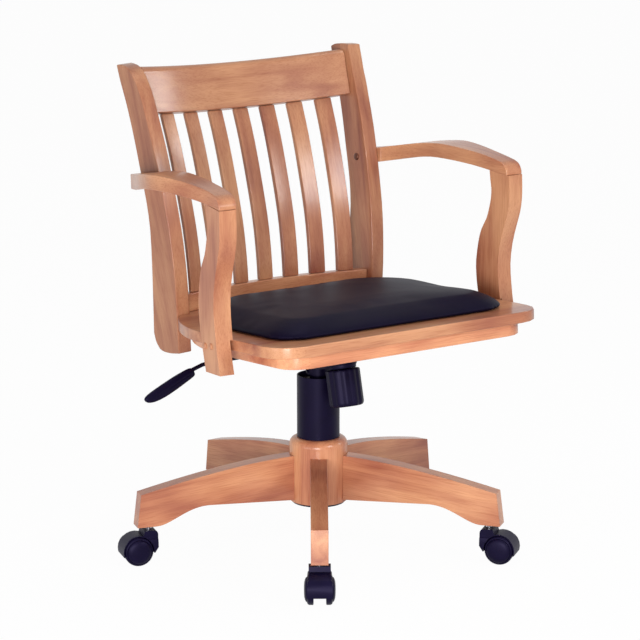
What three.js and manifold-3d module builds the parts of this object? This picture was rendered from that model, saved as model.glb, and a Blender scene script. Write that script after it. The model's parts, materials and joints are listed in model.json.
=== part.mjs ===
// Bankers swivel chair: a wooden armchair with a slatted back and a vinyl cushion, on a
// gas-lift column with a five-star wooden base and twin-wheel casters.
// Millimetres, +Z up, the front of the chair towards -Y, the floor at z = 0.
import * as THREE from 'three';
import { mergeVertices } from 'three/addons/utils/BufferGeometryUtils.js';
import Module from 'manifold-3d';

const kernel = await Module();
kernel.setup();
const { Manifold, Mesh: KernelMesh } = kernel;

const degrees = THREE.MathUtils.degToRad;
const RIGHT = 1;
const LEFT = -1;

// Fits: a cut or resting joint, a turning fit, and how far a cutting solid passes its work.
const JOINT_GAP = 0.3;
const RUNNING_GAP = 0.05;
const CUT_PAST = 60;

// Star base. A leg's outline is in (distance from the column's axis, height).
const LEG_COUNT = 5;
const FIRST_LEG_TURN = degrees(-34.6);
const LEG_THICKNESS = 28.5;
const LEG_REACH = 325;
const LEG_TIP_LEAN = 7;
const LEG_TIP_HEIGHT = 57;
const LEG_FOOT_HEIGHT = 65.5;
const LEG_FOOT_LENGTH = 33;
const LEG_ROOT_TOP_RISE = 101.5;
const LEG_ROOT_FOOT_RISE = 23;
const LEG_ARCH_REACH = 200;
const LEG_ARCH_RISE = 28.8;
const LEG_TOP_CURVE_SHARES = [0.37, 0.96];
const LEG_ARCH_CURVE_SHARES = [0.43, 0.28];
const HUB_RADIUS = 50;
const HUB_BOTTOM_RISE = 18.5;
const HUB_HEIGHT = 111.5;
const HUB_SHOULDER_RADIUS = 12.5;
const HUB_PLATE_RADIUS = 45.5;
const HUB_PLATE_BORE_RADIUS = 12;
const HUB_PLATE_THICKNESS = 3.5;

// Casters, measured from the stem's axis, with the wheels trailing outwards.
const CASTER_INSET = 22;
const CASTER_TRAIL = 21;
const WHEEL_RADIUS = 25;
const WHEEL_THICKNESS = 15.5;
const WHEEL_TREAD_WIDTH = 7.5;
const WHEEL_EDGE_RADIUS = 2;
const WHEEL_DOME_SHARES = [[1, 0], [0.965, 0.24], [0.87, 0.47], [0.68, 0.7], [0.4, 0.9], [0, 1]];
const CASTER_WEB_THICKNESS = 19;
const CASTER_SIDE_GAP = 0.6;
const CASTER_AXLE_RADIUS = 4;
const CASTER_AXLE_LENGTH = 12;
const HOOD_WIDTH = 41;
const HOOD_NECK_WIDTH = 36;
const HOOD_NECK_LENGTH = 14;
const HOOD_RADIUS = 27.7;
const HOOD_WHEEL_GAP = 0.6;
const HOOD_TOP_GAP = 3;
const HOOD_INNER_REACH = 12.5;
const HOOD_NOTCH_RADIUS = 14;
const HOOD_NOTCH_TURNS = [degrees(185), degrees(300)];
const HOOD_BACK_TURNS = [degrees(-15), degrees(108)];
const STEM_RADIUS = 5.5;
const STEM_COLLAR_RADIUS = 8;
const STEM_COLLAR_THICKNESS = 2.6;
const STEM_IN_HOOD = 18;
const STEM_IN_LEG = 31.5;

// Column: black cover, pressure tube, guide bush, gas cylinder and piston rod.
const COVER_RADIUS = 36.5;
const COVER_WALL = 2;
const COVER_LENGTH = 108.5;
const OUTER_TUBE_RADIUS = 25;
const OUTER_TUBE_WALL = 1.5;
const OUTER_TUBE_RECESS = 10;
const OUTER_TUBE_FLOOR = 3;
const BUSH_LENGTH = 66;
const BUSH_LIP_HEIGHT = 2.5;
const CYLINDER_RADIUS = 14;
const CYLINDER_WALL = 2;
const CYLINDER_LENGTH = 251;
const CYLINDER_SHOWN = 53;
const CYLINDER_BOTTOM_CAP = 12;
const CYLINDER_TOP_CAP = 13;
const ROD_RADIUS = 5;
const ROD_FOOT_RADIUS = 12;
const ROD_FOOT_HEIGHT = 5;
const PISTON_HEIGHT = 12;
const PISTON_BELOW_TOP = 16;
const BUTTON_RADIUS = 3.5;
const BUTTON_LENGTH = 13;
const BUTTON_RISE = 7;
const BUTTON_TRAVEL = 2.3;

// Tilt housing, a channel on a socket that fits over the gas cylinder's top.
const HOUSING_HALF_WIDTH = 32;
const HOUSING_WALL = 3;
const HOUSING_DEPTH = 40;
const HOUSING_REAR_DEPTH = 26;
const HOUSING_FRONT = -112;
const HOUSING_REAR = 48;
const HOUSING_RAMP_START = -40;
const HOUSING_SLOPE_START = 30;
const SOCKET_WALL = 7;
const SOCKET_LENGTH = 37;
const SOCKET_BELOW_TOP = 4;
const SOCKET_BELOW_FLOOR = 18;
const GUSSET_THICKNESS = 3;
const GUSSET_LIP = 3;
const AXLE_REACH = 20;
const AXLE_BELOW_HOUSING_TOP = 12;
const AXLE_RADIUS = 5;
const AXLE_HEAD_RADIUS = 8;
const AXLE_HEAD_THICKNESS = 3;

// Plate under the seat, and the fork on it that works the spring.
const AXLE_TO_SEAT = 27;
const SEAT_PITCH = degrees(3);
const EAR_THICKNESS = 3;
const EAR_GAP = 0.6;
const EAR_HALF_LENGTH = 12;
const EAR_BELOW_AXLE = 9;
const PLATE_THICKNESS = 4;
const PLATE_HALF_WIDTH = 80;
const PLATE_FRONT = -120;
const PLATE_REAR = 100;
const FORK_CLEARANCE = 2;
const FORK_THICKNESS = 3;
const FORK_HALF_LENGTH = 14;
const FORK_SLOT_HALF_WIDTH = 7;
const FORK_SLOT_FRONT = 9;
const FORK_ARM_OFFSET = 20;
const FORK_ARM_THICKNESS = 3;
const FORK_ARM_HALF_LENGTH = 8;

// Tension knob, bolt and spring, on an axis that leans forward at the foot.
const KNOB_LEAN = degrees(13);
const KNOB_REACH = 71;
const KNOB_RADIUS = 28.5;
const KNOB_FLUTE_DEPTH = 0.9;
const KNOB_FLUTE_COUNT = 12;
const KNOB_FLUTE_STEPS = 4;
const KNOB_HEIGHT = 60;
const KNOB_WALL = 4;
const KNOB_EDGE_RADIUS = 5;
const KNOB_BOSS_RADIUS = 10;
const COLLAR_RADIUS = 20;
const COLLAR_HEIGHT = 4;
const BOLT_RADIUS = 5;
const BOLT_TAIL = 2;
const BOLT_HEAD_RADIUS = 17.5;
const BOLT_HEAD_THICKNESS = 3;
const SPRING_LENGTH = 30;
const SPRING_RADIUS = 15.5;
const SPRING_WIRE_RADIUS = 1.6;
const SPRING_TURNS = 3;
const SPRING_TURN_STEPS = 12;

// Height lever: a rocker over the release button, a bent rod and a paddle handle.
const LEVER_PIVOT_REACH = 22;
const ROCKER_PIN_RADIUS = 3;
const ROCKER_SLEEVE_RADIUS = 7;
const ROCKER_SLEEVE_LENGTH = 18;
const ROCKER_SLEEVE_INNER_END = 10;
const ROCKER_TONGUE_PAST = 6;
const ROCKER_TONGUE_HALF_WIDTH = 4;
const ROCKER_TONGUE_THICKNESS = 3;
const ROCKER_EAR_THICKNESS = 3;
const ROCKER_EAR_HALF_LENGTH = 7;
const LEVER_ROD_RADIUS = 3.6;
const LEVER_ROD_START = 12;
const LEVER_ROD_BEND_BEFORE_HANDLE = 13.5;
const LEVER_ROD_BEND_DROP = 3;
const LEVER_ROD_BEND_SHARES = [0.1125, 0.5];
const LEVER_ROD_IN_HANDLE = 16.5;
const LEVER_ROD_END_DROP = 18;
const HANDLE_REACH = 346.5;
const HANDLE_LENGTH = 95;
const HANDLE_DROP = 54.5;
const HANDLE_HEIGHT = 48;
const HANDLE_THICKNESS = 13;

// Seat boards. Heights of the seat unit are from the underside of the lower board.
const APRON_THICKNESS = 22;
const BOARD_THICKNESS = 18.5;
const BOARD_FRONT = -282;
const BOARD_REAR = 166;
const BOARD_SIDE_INSET = 36.5;
const BOARD_CORNER_RADIUS = 52;
const APRON_SIDE_INSET = 30;
const APRON_FRONT_INSET = 14;
const APRON_CORNER_RADIUS = 40;

// Cushion.
const CUSHION_HALF_WIDTH = 233;
const CUSHION_FRONT = -242;
const CUSHION_REAR = 103.5;
const CUSHION_FRONT_CORNER_RADIUS = 52;
const CUSHION_REAR_CORNER_RADIUS = 128;
const CUSHION_EDGE_WIDTH = 46;
const CUSHION_EDGE_HEIGHT = 29.5;
const CUSHION_CROWN = 6;
const CUSHION_CROWN_STEPS = 5;

// Back.
const BACK_POST_THICKNESS = 25.5;
const BACK_POST_FRONT = 104;
const BACK_POST_DEPTH = 132;
const BACK_POST_FOOT = -30;
const BACK_POST_HEIGHT = 490;
const BACK_POST_HALF_SPREAD = 212.5;
const BACK_POST_SPLAY = degrees(2.75);
const RAIL_THICKNESS = 22;
const CREST_BELOW_POST_TOP = 91;
const CREST_HEIGHT = 82;
const CREST_LEAN = degrees(15);
const CREST_FRONT = 206;
const CREST_BOW = 34;
const CREST_EDGE_RADIUS = 11;
const LOWER_RAIL_HEIGHT = 31;
const LOWER_RAIL_FRONT = 147;
const LOWER_RAIL_BOW = 29;
const SLAT_COUNT = 7;
const SLAT_WIDTH = 28;
const SLAT_THICKNESS = 9;
const SLAT_LOW_PITCH = 51.7;
const SLAT_HIGH_PITCH = 53.8;
const SLAT_TOP_SETBACK = 4;

// Arms. An arm's side outline is in (y, z) and its plan in (x, y).
const ARM_FRONT = -178.5;
const ARM_LENGTH = 354.5;
const ARM_RISE = 44.5;
const ARM_INNER_REACH = 218;
const ARM_SWING = 97.5;
const ARM_POST_INSET = 10;
const ARM_POST_THICKNESS = 30.5;
const ARM_POST_TURN = degrees(6);
const ARM_POST_DEPTH = 85.5;
const ARM_POST_FOOT = -13;
const ARM_POST_HEIGHT = 284;
const ARM_POST_IN_ARM = 18;
const ARM_POST_REBATE = 5;

// Outlines of the curved boards, each pair a share of the two sizes of its board.
const BACK_POST_FRONT_SHARES = [
  [0.053, 0.008], [0.03, 0.104], [0.004, 0.227], [0.011, 0.339], [0.045, 0.441],
  [0.125, 0.561], [0.189, 0.645], [0.258, 0.722], [0.356, 0.808], [0.432, 0.873],
  [0.485, 0.908],
];
const BACK_POST_ROUND_TOP_SHARES = [
  [0.534, 0.933], [0.591, 0.955], [0.667, 0.978], [0.788, 0.994], [0.924, 0.999],
];
const BACK_POST_SQUARE_TOP_SHARES = [
  [0.53, 0.948], [0.589, 0.998], [0.606, 1.006], [0.76, 1.008], [0.92, 1.004],
];
const BACK_POST_REAR_SHARES = [
  [1, 0.996], [0.947, 0.943], [0.856, 0.876], [0.78, 0.808], [0.705, 0.727], [0.633, 0.635],
  [0.549, 0.527], [0.515, 0.431], [0.542, 0.308], [0.591, 0.176], [0.636, 0.063],
];
const BACK_POST_FOOT_SHARES = [
  [0.606, 0.034], [0.523, 0.009], [0.402, 0.001], [0.235, 0.002],
];
const ARM_TOP_SHARES = [
  [1, 0.573], [0.865, 0.674], [0.777, 0.775], [0.647, 0.921], [0.532, 0.989], [0.447, 1],
  [0.323, 0.921], [0.241, 0.843], [0.157, 0.742], [0.094, 0.647],
];
const ARM_NOSE_SHARES = [
  [0.047, 0.551], [0.021, 0.449], [0.006, 0.292], [0, 0.135],
];
const ARM_UNDERSIDE_SHARES = [
  [0, 0.022], [0.109, 0.157], [0.238, 0.301], [0.365, 0.4], [0.495, 0.449], [0.588, 0.422],
  [0.695, 0.315], [0.856, 0.112], [1, 0],
];
const ARM_OUTER_SHARES = [
  [0.349, 1], [0.554, 0.87], [0.759, 0.752], [0.923, 0.63], [1, 0.526], [0.985, 0.419],
  [0.933, 0.306], [0.882, 0.193], [0.867, 0.094], [0.892, 0],
];
const ARM_INNER_SHARES = [
  [0.554, 0], [0.518, 0.08], [0.492, 0.193], [0.446, 0.306], [0.41, 0.419], [0.385, 0.532],
  [0.328, 0.639], [0.226, 0.743], [0.103, 0.831], [0, 0.884], [0, 1],
];
const ARM_POST_FRONT_SHARES = [
  [0, 0.972], [0, 0.863], [0.021, 0.782], [0.073, 0.711], [0.175, 0.63], [0.308, 0.514],
  [0.378, 0.387], [0.363, 0.268], [0.316, 0.144], [0.246, 0.046], [0.211, 0],
];
const ARM_POST_REAR_SHARES = [
  [0.795, 0], [0.848, 0.06], [0.912, 0.141], [0.973, 0.236], [1, 0.324], [0.994, 0.408],
  [0.918, 0.521], [0.825, 0.599], [0.673, 0.669], [0.591, 0.732], [0.532, 0.796],
  [0.515, 0.852], [0.538, 0.908], [0.561, 1],
];
const BOARD_SIDE_SHARES = [
  [1, 0.121], [1.004, 0.295], [1.004, 0.462], [0.993, 0.574], [0.959, 0.663], [0.903, 0.752],
  [0.833, 0.826], [0.766, 0.879], [0.758, 1],
];
const HANDLE_UPPER_SHARES = [
  [1, 0.969], [0.883, 0.99], [0.689, 0.865], [0.495, 0.698], [0.27, 0.5], [0.107, 0.344],
  [0.031, 0.24],
];
const HANDLE_LOWER_SHARES = [
  [0, 0.146], [0.036, 0.042], [0.128, 0], [0.291, 0.021], [0.464, 0.125], [0.668, 0.323],
  [0.862, 0.562], [1, 0.74],
];
const CUSHION_EDGE_SHARES = [
  [0.03, 0], [0, 0.11], [0.06, 0.26], [0.2, 0.43], [0.39, 0.61], [0.61, 0.77], [0.81, 0.9], [1, 1],
];

const ROUND_SEGMENTS = 32;
const FINE_SEGMENTS = 16;
const SMALL_SEGMENTS = 8;
const CURVE_STEPS = 2;
const ARC_STEPS = 4;
const BEND_STEPS = 14;
const WELD = 0.001;

// Reaches from the column's axis, and heights, that follow from the sizes above.
const casterReach = LEG_REACH - CASTER_INSET;
const handleStart = HANDLE_REACH - HANDLE_LENGTH;
const armPostReach = ARM_INNER_REACH + ARM_SWING - ARM_POST_INSET;
const boardHalfWidth = armPostReach - BOARD_SIDE_INSET;
const hubBottom = LEG_FOOT_HEIGHT + HUB_BOTTOM_RISE;
const hubTop = hubBottom + HUB_HEIGHT;
const coverTop = hubTop + COVER_LENGTH;
const tubeFloor = hubBottom + OUTER_TUBE_FLOOR;
const tubeTop = coverTop - OUTER_TUBE_RECESS;
const cylinderTop = tubeTop + CYLINDER_SHOWN;
const cylinderBottom = cylinderTop - CYLINDER_LENGTH;
const buttonTop = cylinderTop + BUTTON_RISE;
const leverHeight = buttonTop + ROCKER_TONGUE_THICKNESS;
const socketTop = cylinderTop - SOCKET_BELOW_TOP;
const socketBottom = socketTop - SOCKET_LENGTH;
const housingFloor = socketBottom + SOCKET_BELOW_FLOOR;
const housingTop = housingFloor + HOUSING_DEPTH;
const axleHeight = housingTop - AXLE_BELOW_HOUSING_TOP;
const seatHeight = axleHeight + AXLE_TO_SEAT;
const boardBottom = APRON_THICKNESS;
const boardTop = boardBottom + BOARD_THICKNESS;
const lowerRailTop = boardTop + LOWER_RAIL_HEIGHT;
const armLow = ARM_POST_FOOT + ARM_POST_HEIGHT - ARM_POST_IN_ARM;
const crestBottom = BACK_POST_FOOT + BACK_POST_HEIGHT - CREST_BELOW_POST_TOP;

const materials = {
  lacquered_wood: new THREE.MeshStandardMaterial({ color: 0xb97a52, roughness: 0.38, metalness: 0 }),
  cushion_vinyl: new THREE.MeshStandardMaterial({ color: 0x241f2e, roughness: 0.42, metalness: 0 }),
  black_plastic: new THREE.MeshStandardMaterial({ color: 0x17161f, roughness: 0.45, metalness: 0 }),
  black_steel: new THREE.MeshStandardMaterial({ color: 0x15141d, roughness: 0.4, metalness: 0.2 }),
  chromed_steel: new THREE.MeshStandardMaterial({ color: 0xc9ccd2, roughness: 0.15, metalness: 1 }),
  spring_steel: new THREE.MeshStandardMaterial({ color: 0x6d6f75, roughness: 0.35, metalness: 1 }),
};

function toManifold(geometry) {
  const bare = geometry.clone();
  bare.deleteAttribute('normal');
  bare.deleteAttribute('uv');
  const welded = mergeVertices(bare, WELD);
  const vertProperties = new Float32Array(welded.attributes.position.array);
  const triVerts = new Uint32Array(welded.index.array);
  return new Manifold(new KernelMesh({ numProp: 3, vertProperties, triVerts }));
}

function toGeometry(solid) {
  const mesh = solid.getMesh();
  const geometry = new THREE.BufferGeometry();
  geometry.setAttribute('position', new THREE.BufferAttribute(mesh.vertProperties, 3));
  geometry.setIndex(new THREE.BufferAttribute(mesh.triVerts, 1));
  geometry.computeVertexNormals();
  return geometry;
}

function add(parent, name, slot, solid, matrix = new THREE.Matrix4()) {
  const mesh = new THREE.Mesh(toGeometry(solid), materials[slot]);
  mesh.name = name;
  mesh.applyMatrix4(matrix);
  parent.add(mesh);
}

function moved(solid, matrix) {
  return solid.transform(matrix.elements);
}

function shifted(solid, x, y, z) {
  return moved(solid, new THREE.Matrix4().makeTranslation(x, y, z));
}

function mirrored(solid) {
  return solid.mirror([1, 0, 0]);
}

function joined(...solids) {
  return solids.reduce((sum, solid) => sum.add(solid));
}

function points(pairs) {
  return pairs.map(([a, b]) => new THREE.Vector2(a, b));
}

function spread(shares, low, size) {
  return shares.map(([a, b]) => new THREE.Vector2(low.x + a * size.x, low.y + b * size.y));
}

function smooth(list, steps = CURVE_STEPS) {
  return new THREE.SplineCurve(list).getPoints(steps * (list.length - 1));
}

function arc(centreA, centreB, radius, from, to, steps = ARC_STEPS) {
  const list = [];
  for (let i = 0; i <= steps; i += 1) {
    const angle = from + ((to - from) * i) / steps;
    list.push(new THREE.Vector2(centreA + radius * Math.cos(angle), centreB + radius * Math.sin(angle)));
  }
  return list;
}

function prism(outline, depth) {
  const shape = new THREE.Shape(outline);
  return toManifold(new THREE.ExtrudeGeometry(shape, { depth, bevelEnabled: false, steps: 1 }));
}

// An outline in (y, z), from xLow to xHigh.
function prismX(outline, xLow, xHigh) {
  const axes = new THREE.Matrix4().makeBasis(
    new THREE.Vector3(0, 1, 0),
    new THREE.Vector3(0, 0, 1),
    new THREE.Vector3(1, 0, 0),
  );
  return moved(prism(outline, xHigh - xLow), axes.setPosition(xLow, 0, 0));
}

// An outline in (x, z), from yLow to yHigh.
function prismY(outline, yLow, yHigh) {
  const axes = new THREE.Matrix4().makeBasis(
    new THREE.Vector3(1, 0, 0),
    new THREE.Vector3(0, 0, 1),
    new THREE.Vector3(0, -1, 0),
  );
  return moved(prism(outline, yHigh - yLow), axes.setPosition(0, yHigh, 0));
}

// An outline in (x, y), from zLow to zHigh.
function prismZ(outline, zLow, zHigh) {
  return shifted(prism(outline, zHigh - zLow), 0, 0, zLow);
}

function block(xLow, xHigh, yLow, yHigh, zLow, zHigh) {
  return prismZ(points([[xLow, yLow], [xHigh, yLow], [xHigh, yHigh], [xLow, yHigh]]), zLow, zHigh);
}

// A profile of (radius, z), counter-clockwise, turned about the z axis.
function turned(profile, segments = ROUND_SEGMENTS) {
  const list = [...profile];
  if (list[0].x > 0 || list[list.length - 1].x > 0) {
    list.push(list[0].clone());
  }
  return toManifold(new THREE.LatheGeometry(list, segments).rotateX(Math.PI / 2));
}

function rod(radius, zLow, zHigh, segments = FINE_SEGMENTS) {
  return turned(points([[0, zLow], [radius, zLow], [radius, zHigh], [0, zHigh]]), segments);
}

function ring(boreRadius, radius, zLow, zHigh) {
  return turned(points([[boreRadius, zLow], [radius, zLow], [radius, zHigh], [boreRadius, zHigh]]));
}

function alongX(solid, y, z) {
  return moved(solid, new THREE.Matrix4().makeRotationY(Math.PI / 2).setPosition(0, y, z));
}

function alongY(solid, x, z) {
  return moved(solid, new THREE.Matrix4().makeRotationX(-Math.PI / 2).setPosition(x, 0, z));
}

// The radius of a faceted bore in which a shaft can turn: its flats stay outside the shaft.
function boreFor(shaftRadius, segments = FINE_SEGMENTS) {
  return (shaftRadius + RUNNING_GAP) / Math.cos(Math.PI / segments);
}

// A round bar along a curve.
function bar(path, radius, steps, sides = SMALL_SEGMENTS) {
  const section = new THREE.Shape(arc(0, 0, radius, 0, 2 * Math.PI, sides).slice(0, -1));
  const settings = { extrudePath: path, steps, bevelEnabled: false };
  return toManifold(new THREE.ExtrudeGeometry(section, settings));
}

// Base.

function hub() {
  const shoulder = HUB_RADIUS - HUB_SHOULDER_RADIUS;
  const bore = OUTER_TUBE_RADIUS + RUNNING_GAP;
  return turned([
    new THREE.Vector2(bore, hubBottom),
    new THREE.Vector2(HUB_RADIUS, hubBottom),
    ...arc(shoulder, hubTop - HUB_SHOULDER_RADIUS, HUB_SHOULDER_RADIUS, 0, Math.PI / 2),
    new THREE.Vector2(bore, hubTop),
  ]);
}

function legOutline() {
  const root = HUB_RADIUS / 2;
  const rootTop = LEG_FOOT_HEIGHT + LEG_ROOT_TOP_RISE;
  const tipTop = new THREE.Vector2(LEG_REACH - LEG_TIP_LEAN, LEG_FOOT_HEIGHT + LEG_TIP_HEIGHT);
  const [topReachShare, topRiseShare] = LEG_TOP_CURVE_SHARES;
  const top = new THREE.QuadraticBezierCurve(
    new THREE.Vector2(HUB_RADIUS, rootTop),
    new THREE.Vector2(
      HUB_RADIUS + topReachShare * (tipTop.x - HUB_RADIUS),
      LEG_FOOT_HEIGHT + topRiseShare * LEG_ROOT_TOP_RISE,
    ),
    tipTop,
  );
  const footEnd = new THREE.Vector2(LEG_REACH - LEG_FOOT_LENGTH, LEG_FOOT_HEIGHT);
  const arch = new THREE.Vector2(LEG_ARCH_REACH, LEG_FOOT_HEIGHT + LEG_ARCH_RISE);
  const [archShare, footShare] = LEG_ARCH_CURVE_SHARES;
  const run = footEnd.x - arch.x;
  const rise = new THREE.CubicBezierCurve(
    footEnd,
    new THREE.Vector2(footEnd.x - footShare * run, footEnd.y),
    new THREE.Vector2(arch.x + archShare * run, arch.y),
    arch,
  );
  return [
    new THREE.Vector2(root, LEG_FOOT_HEIGHT + LEG_ROOT_FOOT_RISE),
    ...rise.getPoints(BEND_STEPS).reverse(),
    new THREE.Vector2(LEG_REACH, LEG_FOOT_HEIGHT),
    ...top.getPoints(BEND_STEPS).reverse(),
    new THREE.Vector2(root, rootTop),
  ];
}

function leg() {
  const plank = prismY(legOutline(), -LEG_THICKNESS / 2, LEG_THICKNESS / 2);
  const hubSpace = rod(HUB_RADIUS + JOINT_GAP, 0, hubTop + CUT_PAST, ROUND_SEGMENTS);
  const stemTop = LEG_FOOT_HEIGHT + STEM_IN_LEG;
  const stemHole = rod(STEM_RADIUS + JOINT_GAP, LEG_FOOT_HEIGHT - CUT_PAST, stemTop + JOINT_GAP);
  return plank.subtract(hubSpace).subtract(shifted(stemHole, casterReach, 0, 0));
}

// Casters, in their own frame: x outwards from the stem's axis, z from the floor.

function casterStem() {
  const collarTop = LEG_FOOT_HEIGHT;
  const collarBottom = collarTop - STEM_COLLAR_THICKNESS;
  return joined(
    rod(STEM_RADIUS, collarBottom - STEM_IN_HOOD, collarTop + STEM_IN_LEG),
    rod(STEM_COLLAR_RADIUS, collarBottom, collarTop),
  );
}

function hoodTop() {
  return LEG_FOOT_HEIGHT - STEM_COLLAR_THICKNESS - HOOD_TOP_GAP;
}

function hoodOutline() {
  const inner = -HOOD_INNER_REACH;
  const corner = HOOD_INNER_REACH / 2;
  const top = hoodTop();
  return [
    ...arc(CASTER_TRAIL, WHEEL_RADIUS, HOOD_NOTCH_RADIUS, ...HOOD_NOTCH_TURNS),
    ...arc(CASTER_TRAIL, WHEEL_RADIUS, HOOD_RADIUS, ...HOOD_BACK_TURNS, 2 * ARC_STEPS),
    new THREE.Vector2(CASTER_TRAIL / 2, top),
    ...arc(inner + corner, top - corner, corner, Math.PI / 2, Math.PI),
    new THREE.Vector2(inner, WHEEL_RADIUS + corner),
    new THREE.Vector2(inner + corner, WHEEL_RADIUS - corner / 2),
  ];
}

function hoodFrontOutline() {
  const half = HOOD_WIDTH / 2;
  const neck = HOOD_NECK_WIDTH / 2;
  const top = hoodTop();
  const shoulder = new THREE.QuadraticBezierCurve(
    new THREE.Vector2(half, top - 2 * HOOD_NECK_LENGTH),
    new THREE.Vector2(half, top - HOOD_NECK_LENGTH),
    new THREE.Vector2(neck, top - HOOD_NECK_LENGTH),
  ).getPoints(ARC_STEPS);
  const right = [new THREE.Vector2(half, 0), ...shoulder, new THREE.Vector2(neck, top)];
  return mirroredOutline(right);
}

function casterHood() {
  const half = HOOD_WIDTH / 2;
  const web = CASTER_WEB_THICKNESS / 2;
  const reach = CASTER_TRAIL + HOOD_RADIUS + CUT_PAST;
  const pocketRadius = boreFor(WHEEL_RADIUS + HOOD_WHEEL_GAP);
  const pocket = alongY(rod(pocketRadius, web, web + CUT_PAST), CASTER_TRAIL, WHEEL_RADIUS);
  const stemBottom = LEG_FOOT_HEIGHT - STEM_COLLAR_THICKNESS - STEM_IN_HOOD;
  const stemBore = rod(boreFor(STEM_RADIUS), stemBottom - RUNNING_GAP, hoodTop() + CUT_PAST);
  const axle = rod(CASTER_AXLE_RADIUS, -web - CASTER_AXLE_LENGTH, web + CASTER_AXLE_LENGTH);
  return prismY(hoodOutline(), -half, half)
    .intersect(prismX(hoodFrontOutline(), -reach, reach))
    .subtract(stemBore)
    .subtract(pocket)
    .subtract(pocket.mirror([0, 1, 0]))
    .add(alongY(axle, CASTER_TRAIL, WHEEL_RADIUS));
}

// The wheel's bored side faces the hood's web, and its domed side faces out.
function casterWheel(side) {
  const bore = boreFor(CASTER_AXLE_RADIUS);
  const boreEnd = CASTER_AXLE_LENGTH;
  const edge = WHEEL_EDGE_RADIUS;
  const rim = WHEEL_RADIUS - edge;
  const half = Math.PI / 2;
  const domeFoot = new THREE.Vector2(0, WHEEL_TREAD_WIDTH);
  const domeSize = new THREE.Vector2(WHEEL_RADIUS, WHEEL_THICKNESS - WHEEL_TREAD_WIDTH);
  const wheel = turned([
    new THREE.Vector2(0, boreEnd),
    new THREE.Vector2(bore, boreEnd),
    new THREE.Vector2(bore, 0),
    ...arc(rim, edge, edge, -half, 0, 2),
    ...spread(WHEEL_DOME_SHARES, domeFoot, domeSize),
  ], FINE_SEGMENTS + SMALL_SEGMENTS / 2);
  const start = CASTER_WEB_THICKNESS / 2 + CASTER_SIDE_GAP;
  const turn = new THREE.Matrix4()
    .makeRotationX(-side * half)
    .setPosition(CASTER_TRAIL, side * start, WHEEL_RADIUS);
  return moved(wheel, turn);
}

function addBase(chair) {
  const plateBottom = hubBottom - HUB_PLATE_THICKNESS;
  add(chair, 'base_hub', 'lacquered_wood', hub());
  add(chair, 'hub_bottom_plate', 'black_steel',
    ring(HUB_PLATE_BORE_RADIUS, HUB_PLATE_RADIUS, plateBottom, hubBottom));
  const oneLeg = leg();
  const stem = casterStem();
  const hood = casterHood();
  const wheelLeft = casterWheel(RIGHT);
  const wheelRight = casterWheel(LEFT);
  for (let i = 0; i < LEG_COUNT; i += 1) {
    const spoke = new THREE.Group();
    spoke.rotation.z = FIRST_LEG_TURN - Math.PI / 2 + (i * 2 * Math.PI) / LEG_COUNT;
    const caster = new THREE.Group();
    caster.position.x = casterReach;
    add(spoke, `base_leg_${i + 1}`, 'lacquered_wood', oneLeg);
    add(caster, `caster_stem_${i + 1}`, 'chromed_steel', stem);
    add(caster, `caster_hood_${i + 1}`, 'black_plastic', hood);
    add(caster, `caster_wheel_left_${i + 1}`, 'black_plastic', wheelLeft);
    add(caster, `caster_wheel_right_${i + 1}`, 'black_plastic', wheelRight);
    spoke.add(caster);
    chair.add(spoke);
  }
}

// Column.

function outerTube() {
  const bore = OUTER_TUBE_RADIUS - OUTER_TUBE_WALL;
  return turned(points([
    [0, hubBottom], [OUTER_TUBE_RADIUS, hubBottom],
    [OUTER_TUBE_RADIUS, tubeTop], [bore, tubeTop], [bore, tubeFloor], [0, tubeFloor],
  ]));
}

function guideBush() {
  const bore = boreFor(CYLINDER_RADIUS, ROUND_SEGMENTS);
  const radius = OUTER_TUBE_RADIUS - OUTER_TUBE_WALL - RUNNING_GAP;
  const lipTop = tubeTop + BUSH_LIP_HEIGHT;
  return turned(points([
    [bore, tubeTop - BUSH_LENGTH], [radius, tubeTop - BUSH_LENGTH], [radius, tubeTop],
    [OUTER_TUBE_RADIUS, tubeTop], [OUTER_TUBE_RADIUS, lipTop], [bore, lipTop],
  ]));
}

function gasCylinder() {
  const bore = CYLINDER_RADIUS - CYLINDER_WALL;
  const chamberBottom = cylinderBottom + CYLINDER_BOTTOM_CAP;
  const buttonBottom = buttonTop - BUTTON_LENGTH - BUTTON_TRAVEL - RUNNING_GAP;
  return rod(CYLINDER_RADIUS, cylinderBottom, cylinderTop, ROUND_SEGMENTS)
    .subtract(rod(bore, chamberBottom, cylinderTop - CYLINDER_TOP_CAP, ROUND_SEGMENTS))
    .subtract(rod(boreFor(ROD_RADIUS), cylinderBottom - CUT_PAST, chamberBottom + JOINT_GAP))
    .subtract(rod(boreFor(BUTTON_RADIUS), buttonBottom, cylinderTop + CUT_PAST));
}

function pistonRod() {
  const pistonRadius = (CYLINDER_RADIUS - CYLINDER_WALL) * Math.cos(Math.PI / ROUND_SEGMENTS) - RUNNING_GAP;
  const pistonTop = cylinderTop - CYLINDER_TOP_CAP - PISTON_BELOW_TOP;
  return joined(
    rod(ROD_FOOT_RADIUS, tubeFloor, tubeFloor + ROD_FOOT_HEIGHT),
    rod(ROD_RADIUS, tubeFloor, pistonTop),
    rod(pistonRadius, pistonTop - PISTON_HEIGHT, pistonTop, ROUND_SEGMENTS),
  );
}

function releaseButton() {
  const crown = BUTTON_RADIUS / 2;
  return turned(points([
    [0, buttonTop - BUTTON_LENGTH], [BUTTON_RADIUS, buttonTop - BUTTON_LENGTH],
    [BUTTON_RADIUS, buttonTop - crown], [crown, buttonTop], [0, buttonTop],
  ]), FINE_SEGMENTS);
}

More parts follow.
